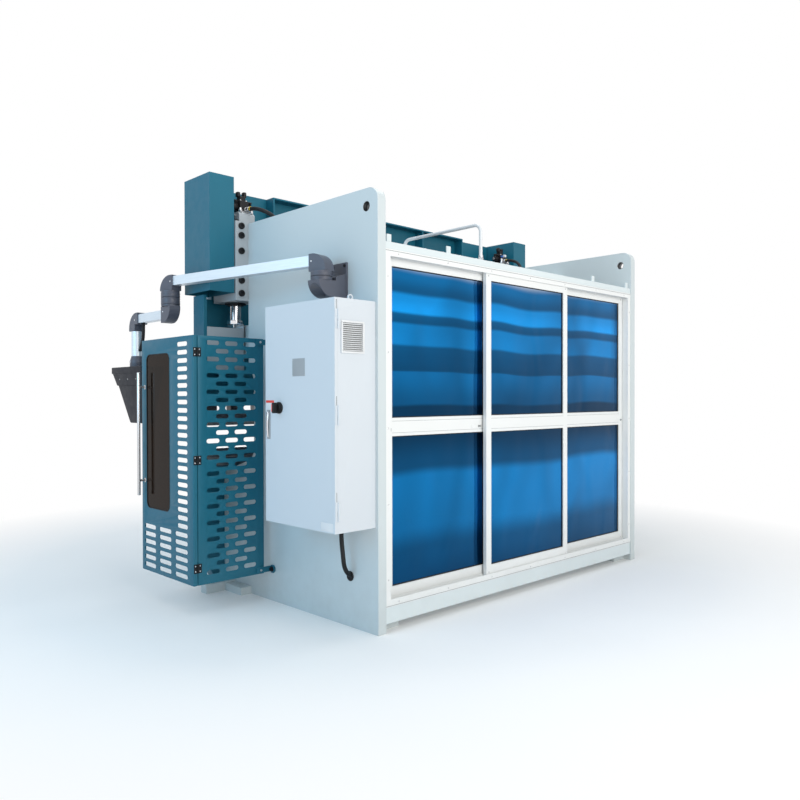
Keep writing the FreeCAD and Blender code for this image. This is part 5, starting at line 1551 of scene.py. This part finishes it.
def elbow_screws():
    """The set screws in the sockets, the bracket's bolts and a dark strip of painted shade over its curved
    underside.
    """
    one = []
    for (x, y), along in ((ARM_PIVOT, -0.044), (ELBOW_PIVOT, 0.044)):
        one += [turned(screw, ARM_TURN, (x, y, 0.0)) for screw in socket_screws(x, y + along, 2.058)]
    add_piece("arm_one_screws", one, "Screw steel", "arm_elbow_one")
    x, y = ELBOW_PIVOT
    two = socket_screws(x, y - 0.036, 1.866) + socket_screws(x, -0.437, 1.842)
    add_piece("arm_two_screws", two, "Screw steel", "arm_elbow_two_lower")
    bolts = []
    for y, z in ((1.254, 1.900), (1.356, 1.900), (1.254, 2.044), (1.356, 2.044)):
        bolts.append(hexagon_head(0.009, 0.0065, (1.402, y, z), "x", 1.0))
    add_piece("bracket_bolts", bolts, "Valve black", "arm_bracket")
    # A dark oval strip on the bracket's curved underside: painted shade
    arc = np.linspace(math.radians(12), math.radians(80), 12)
    path = np.column_stack([1.501 + 0.0905 * np.sin(arc), np.full(12, 1.314), 1.948 - 0.0905 * np.cos(arc)])
    width = np.sqrt(np.clip(1.0 - np.linspace(-0.985, 0.985, 12) ** 2, 0.0, 1.0)) + 0.02
    underside_shade = swept(rounded_outline(0.047, 0.0018, 0.0015, 2), path, scale=width, upright=(0.0, 0.0, 1.0))
    add_piece("bracket_underside_shade", [underside_shade], "Elbow underside shade", "arm_bracket")


def neck():
    """The console's turning socket: a ribbed drum under a cone."""
    low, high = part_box("console_neck")
    centre = ((low.x + high.x) / 2, (low.y + high.y) / 2, 0.0)
    z0, z1 = low.z, high.z
    rows = [(0.044, z0), (0.0495, z0 + 0.0005), (0.050, z0 + 0.002)]
    for z in (z0 + 0.014, z0 + 0.026):
        rows += [(0.050, z - 0.002), (0.048, z - 0.001), (0.048, z + 0.001), (0.050, z + 0.002)]
    rows += [(0.050, z0 + 0.040), (0.048, z0 + 0.046), (0.0415, z1 - 0.008), (0.0405, z1 - 0.001),
             (0.0385, z1 - 0.0002)]
    piece = add_piece("neck_drum", [revolve(rows, centre, "z", 64)], "Elbow coat", "console_neck", 50)
    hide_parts("console_neck")
    screw = dome_head(0.005, 0.0025, (centre[0] + 0.0495, centre[1], z0 + 0.034), "x", 1.0, 18)
    add_piece("neck_screw", [screw], "Screw steel", "console_neck")


def console_shell():
    """The console's housing: a flat rim over a body that narrows downwards on its back and both ends.

    Each level is a rectangle with round corners, given by its height, its back's place and its half length.
    """
    low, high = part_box("console")
    y = (low.y + high.y) / 2
    half = (high.y - low.y) / 2
    levels = ((1.516, 1.854, half - 0.006), (1.5148, 1.858, half - 0.002), (1.512, 1.860, half),
              (1.474, 1.860, half), (1.4712, 1.8585, half - 0.0015), (1.470, 1.8545, half - 0.0055),
              (1.468, 1.8540, half - 0.007), (1.388, 1.838, 0.2005), (1.3858, 1.8350, 0.1975),
              (1.385, 1.8285, 0.196), (1.128, 1.789, 0.0975), (1.1215, 1.786, 0.0935),
              (1.120, 1.781, 0.0885))
    rings = []
    for z, back, half_y in levels[::-1]:
        outline = rounded_outline((back - low.x) / 2, half_y, 0.011, 5)
        rings.append(np.column_stack([outline + ((back + low.x) / 2, y), np.full(len(outline), z)]))
    mesh = cleaned(mesh_from("console_housing", [loft(np.stack(rings))]))
    piece = add_object("console_housing", mesh, "Console coat", "console")
    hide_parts("console")


def console_details():
    """The console's screen and its frame, keys, selectors, stop button and rear screws."""
    low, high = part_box("console")
    owner = "console"
    y = (low.y + high.y) / 2
    top = high.z - 0.046
    face = low.x
    start, end = (face - 0.0008, y - 0.138, top - 0.168), (face + 0.0012, y + 0.138, top - 0.008)
    add_piece("console_screen", [soft_box(start, end, 0.0006, "x")], "Screen glass", owner)
    start, end = (face - 0.0015, y - 0.146, top - 0.176), (face + 0.003, y + 0.146, top - 0.001)
    add_piece("screen_frame", box_ring(start, end, 0.010, 0.0012, "x"), "Plate grey", owner)
    places = [(y + dy, KEY_HEIGHT) for dy in (-0.075, -0.045, -0.015, 0.015)]
    selectors = [(y + dy, SELECTOR_HEIGHT) for dy in (-0.060, -0.020, 0.020)]
    rims = [soft_disc(0.0115, -0.003, 0.0, 0.001, (face, *place), "x", 28) for place in places + selectors]
    keys = [soft_disc(0.0085, -0.0065, -0.002, 0.001, (face, *place), "x", 28) for place in places]
    add_piece("key_rims", rims, "Chrome", owner)
    add_piece("keys_white", keys[:2], "White plastic", owner)
    add_piece("keys_green", keys[2:3], "Green plastic", owner)
    add_piece("keys_red", keys[3:], "Red plastic", owner)
    knobs = []
    for v, z in selectors:
        knobs.append(soft_disc(0.008, -0.008, -0.002, 0.0015, (face, v, z), "x", 28))
        start, end = (face - 0.012, v - 0.0025, z - 0.0065), (face - 0.007, v + 0.0025, z + 0.0065)
        knobs.append(soft_box(start, end, 0.0012, "x"))
    add_piece("selector_knobs", knobs, "Black plastic", owner)
    stop = (face, y + 0.062, STOP_HEIGHT)
    add_piece("stop_ring", [soft_disc(0.024, -0.004, 0.0, 0.001, stop, "x", 40)], "Yellow plastic", owner)
    rows = [(0.0004, -0.0295), (0.010, -0.029), (0.019, -0.026), (0.0205, -0.021), (0.0195, -0.017),
            (0.012, -0.014), (0.012, -0.002)]
    add_piece("stop_button", [revolve(rows, stop, "x", 40)], "Red plastic", owner)
    screws = [dome_head(0.0042, 0.0022, (1.8465, y + dy, 1.430), "x", 1.0, 16) for dy in (-0.13, 0.0, 0.13)]
    add_piece("console_screws", screws, "Screw steel", owner)


OPERATORS = (
    PRESS_OT_stage,
    PRESS_OT_cords,
    PRESS_OT_structure,
    PRESS_OT_cylinders,
    PRESS_OT_fence,
    PRESS_OT_cabinet,
    PRESS_OT_guards,
    PRESS_OT_arm,
)


class PRESS_PT_panel(bpy.types.Panel):
    """The list of the machine's groups in the sidebar."""
    bl_idname = "PRESS_PT_panel"
    bl_label = "Press brake"
    bl_space_type = "VIEW_3D"
    bl_region_type = "UI"
    bl_category = "Press Brake"

    def draw(self, context):
        column = self.layout.column()
        for operator in OPERATORS:
            column.operator(operator.bl_idname)
        for key in ("frame_colour", "ram_colour", "cabinet_colour", "film_colour"):
            column.prop(context.scene.press_paint, key)
        for key in ("plate_edge", "sheet_edge"):
            column.prop(context.scene.press_edges, key)


CLASSES = (PaintSettings, EdgeSettings) + OPERATORS + (PRESS_PT_panel,)


def register():
    """Register the classes and hang the settings on the scene."""
    for entry in CLASSES:
        bpy.utils.register_class(entry)
    bpy.types.Scene.press_paint = bpy.props.PointerProperty(type=PaintSettings)
    bpy.types.Scene.press_edges = bpy.props.PointerProperty(type=EdgeSettings)


def unregister():
    """Take the settings and classes away again."""
    del bpy.types.Scene.press_edges
    del bpy.types.Scene.press_paint
    for entry in reversed(CLASSES):
        bpy.utils.unregister_class(entry)


def main():
    """Build the whole machine."""
    register()
    make_materials(bpy.context.scene.press_paint)
    bpy.ops.press_brake.stage()
    bpy.ops.press_brake.cords()
    bpy.ops.press_brake.structure()
    bpy.ops.press_brake.cylinders()
    bpy.ops.press_brake.fence()
    bpy.ops.press_brake.cabinet()
    bpy.ops.press_brake.guards()
    bpy.ops.press_brake.arm()


if __name__ == "__main__":
    main()
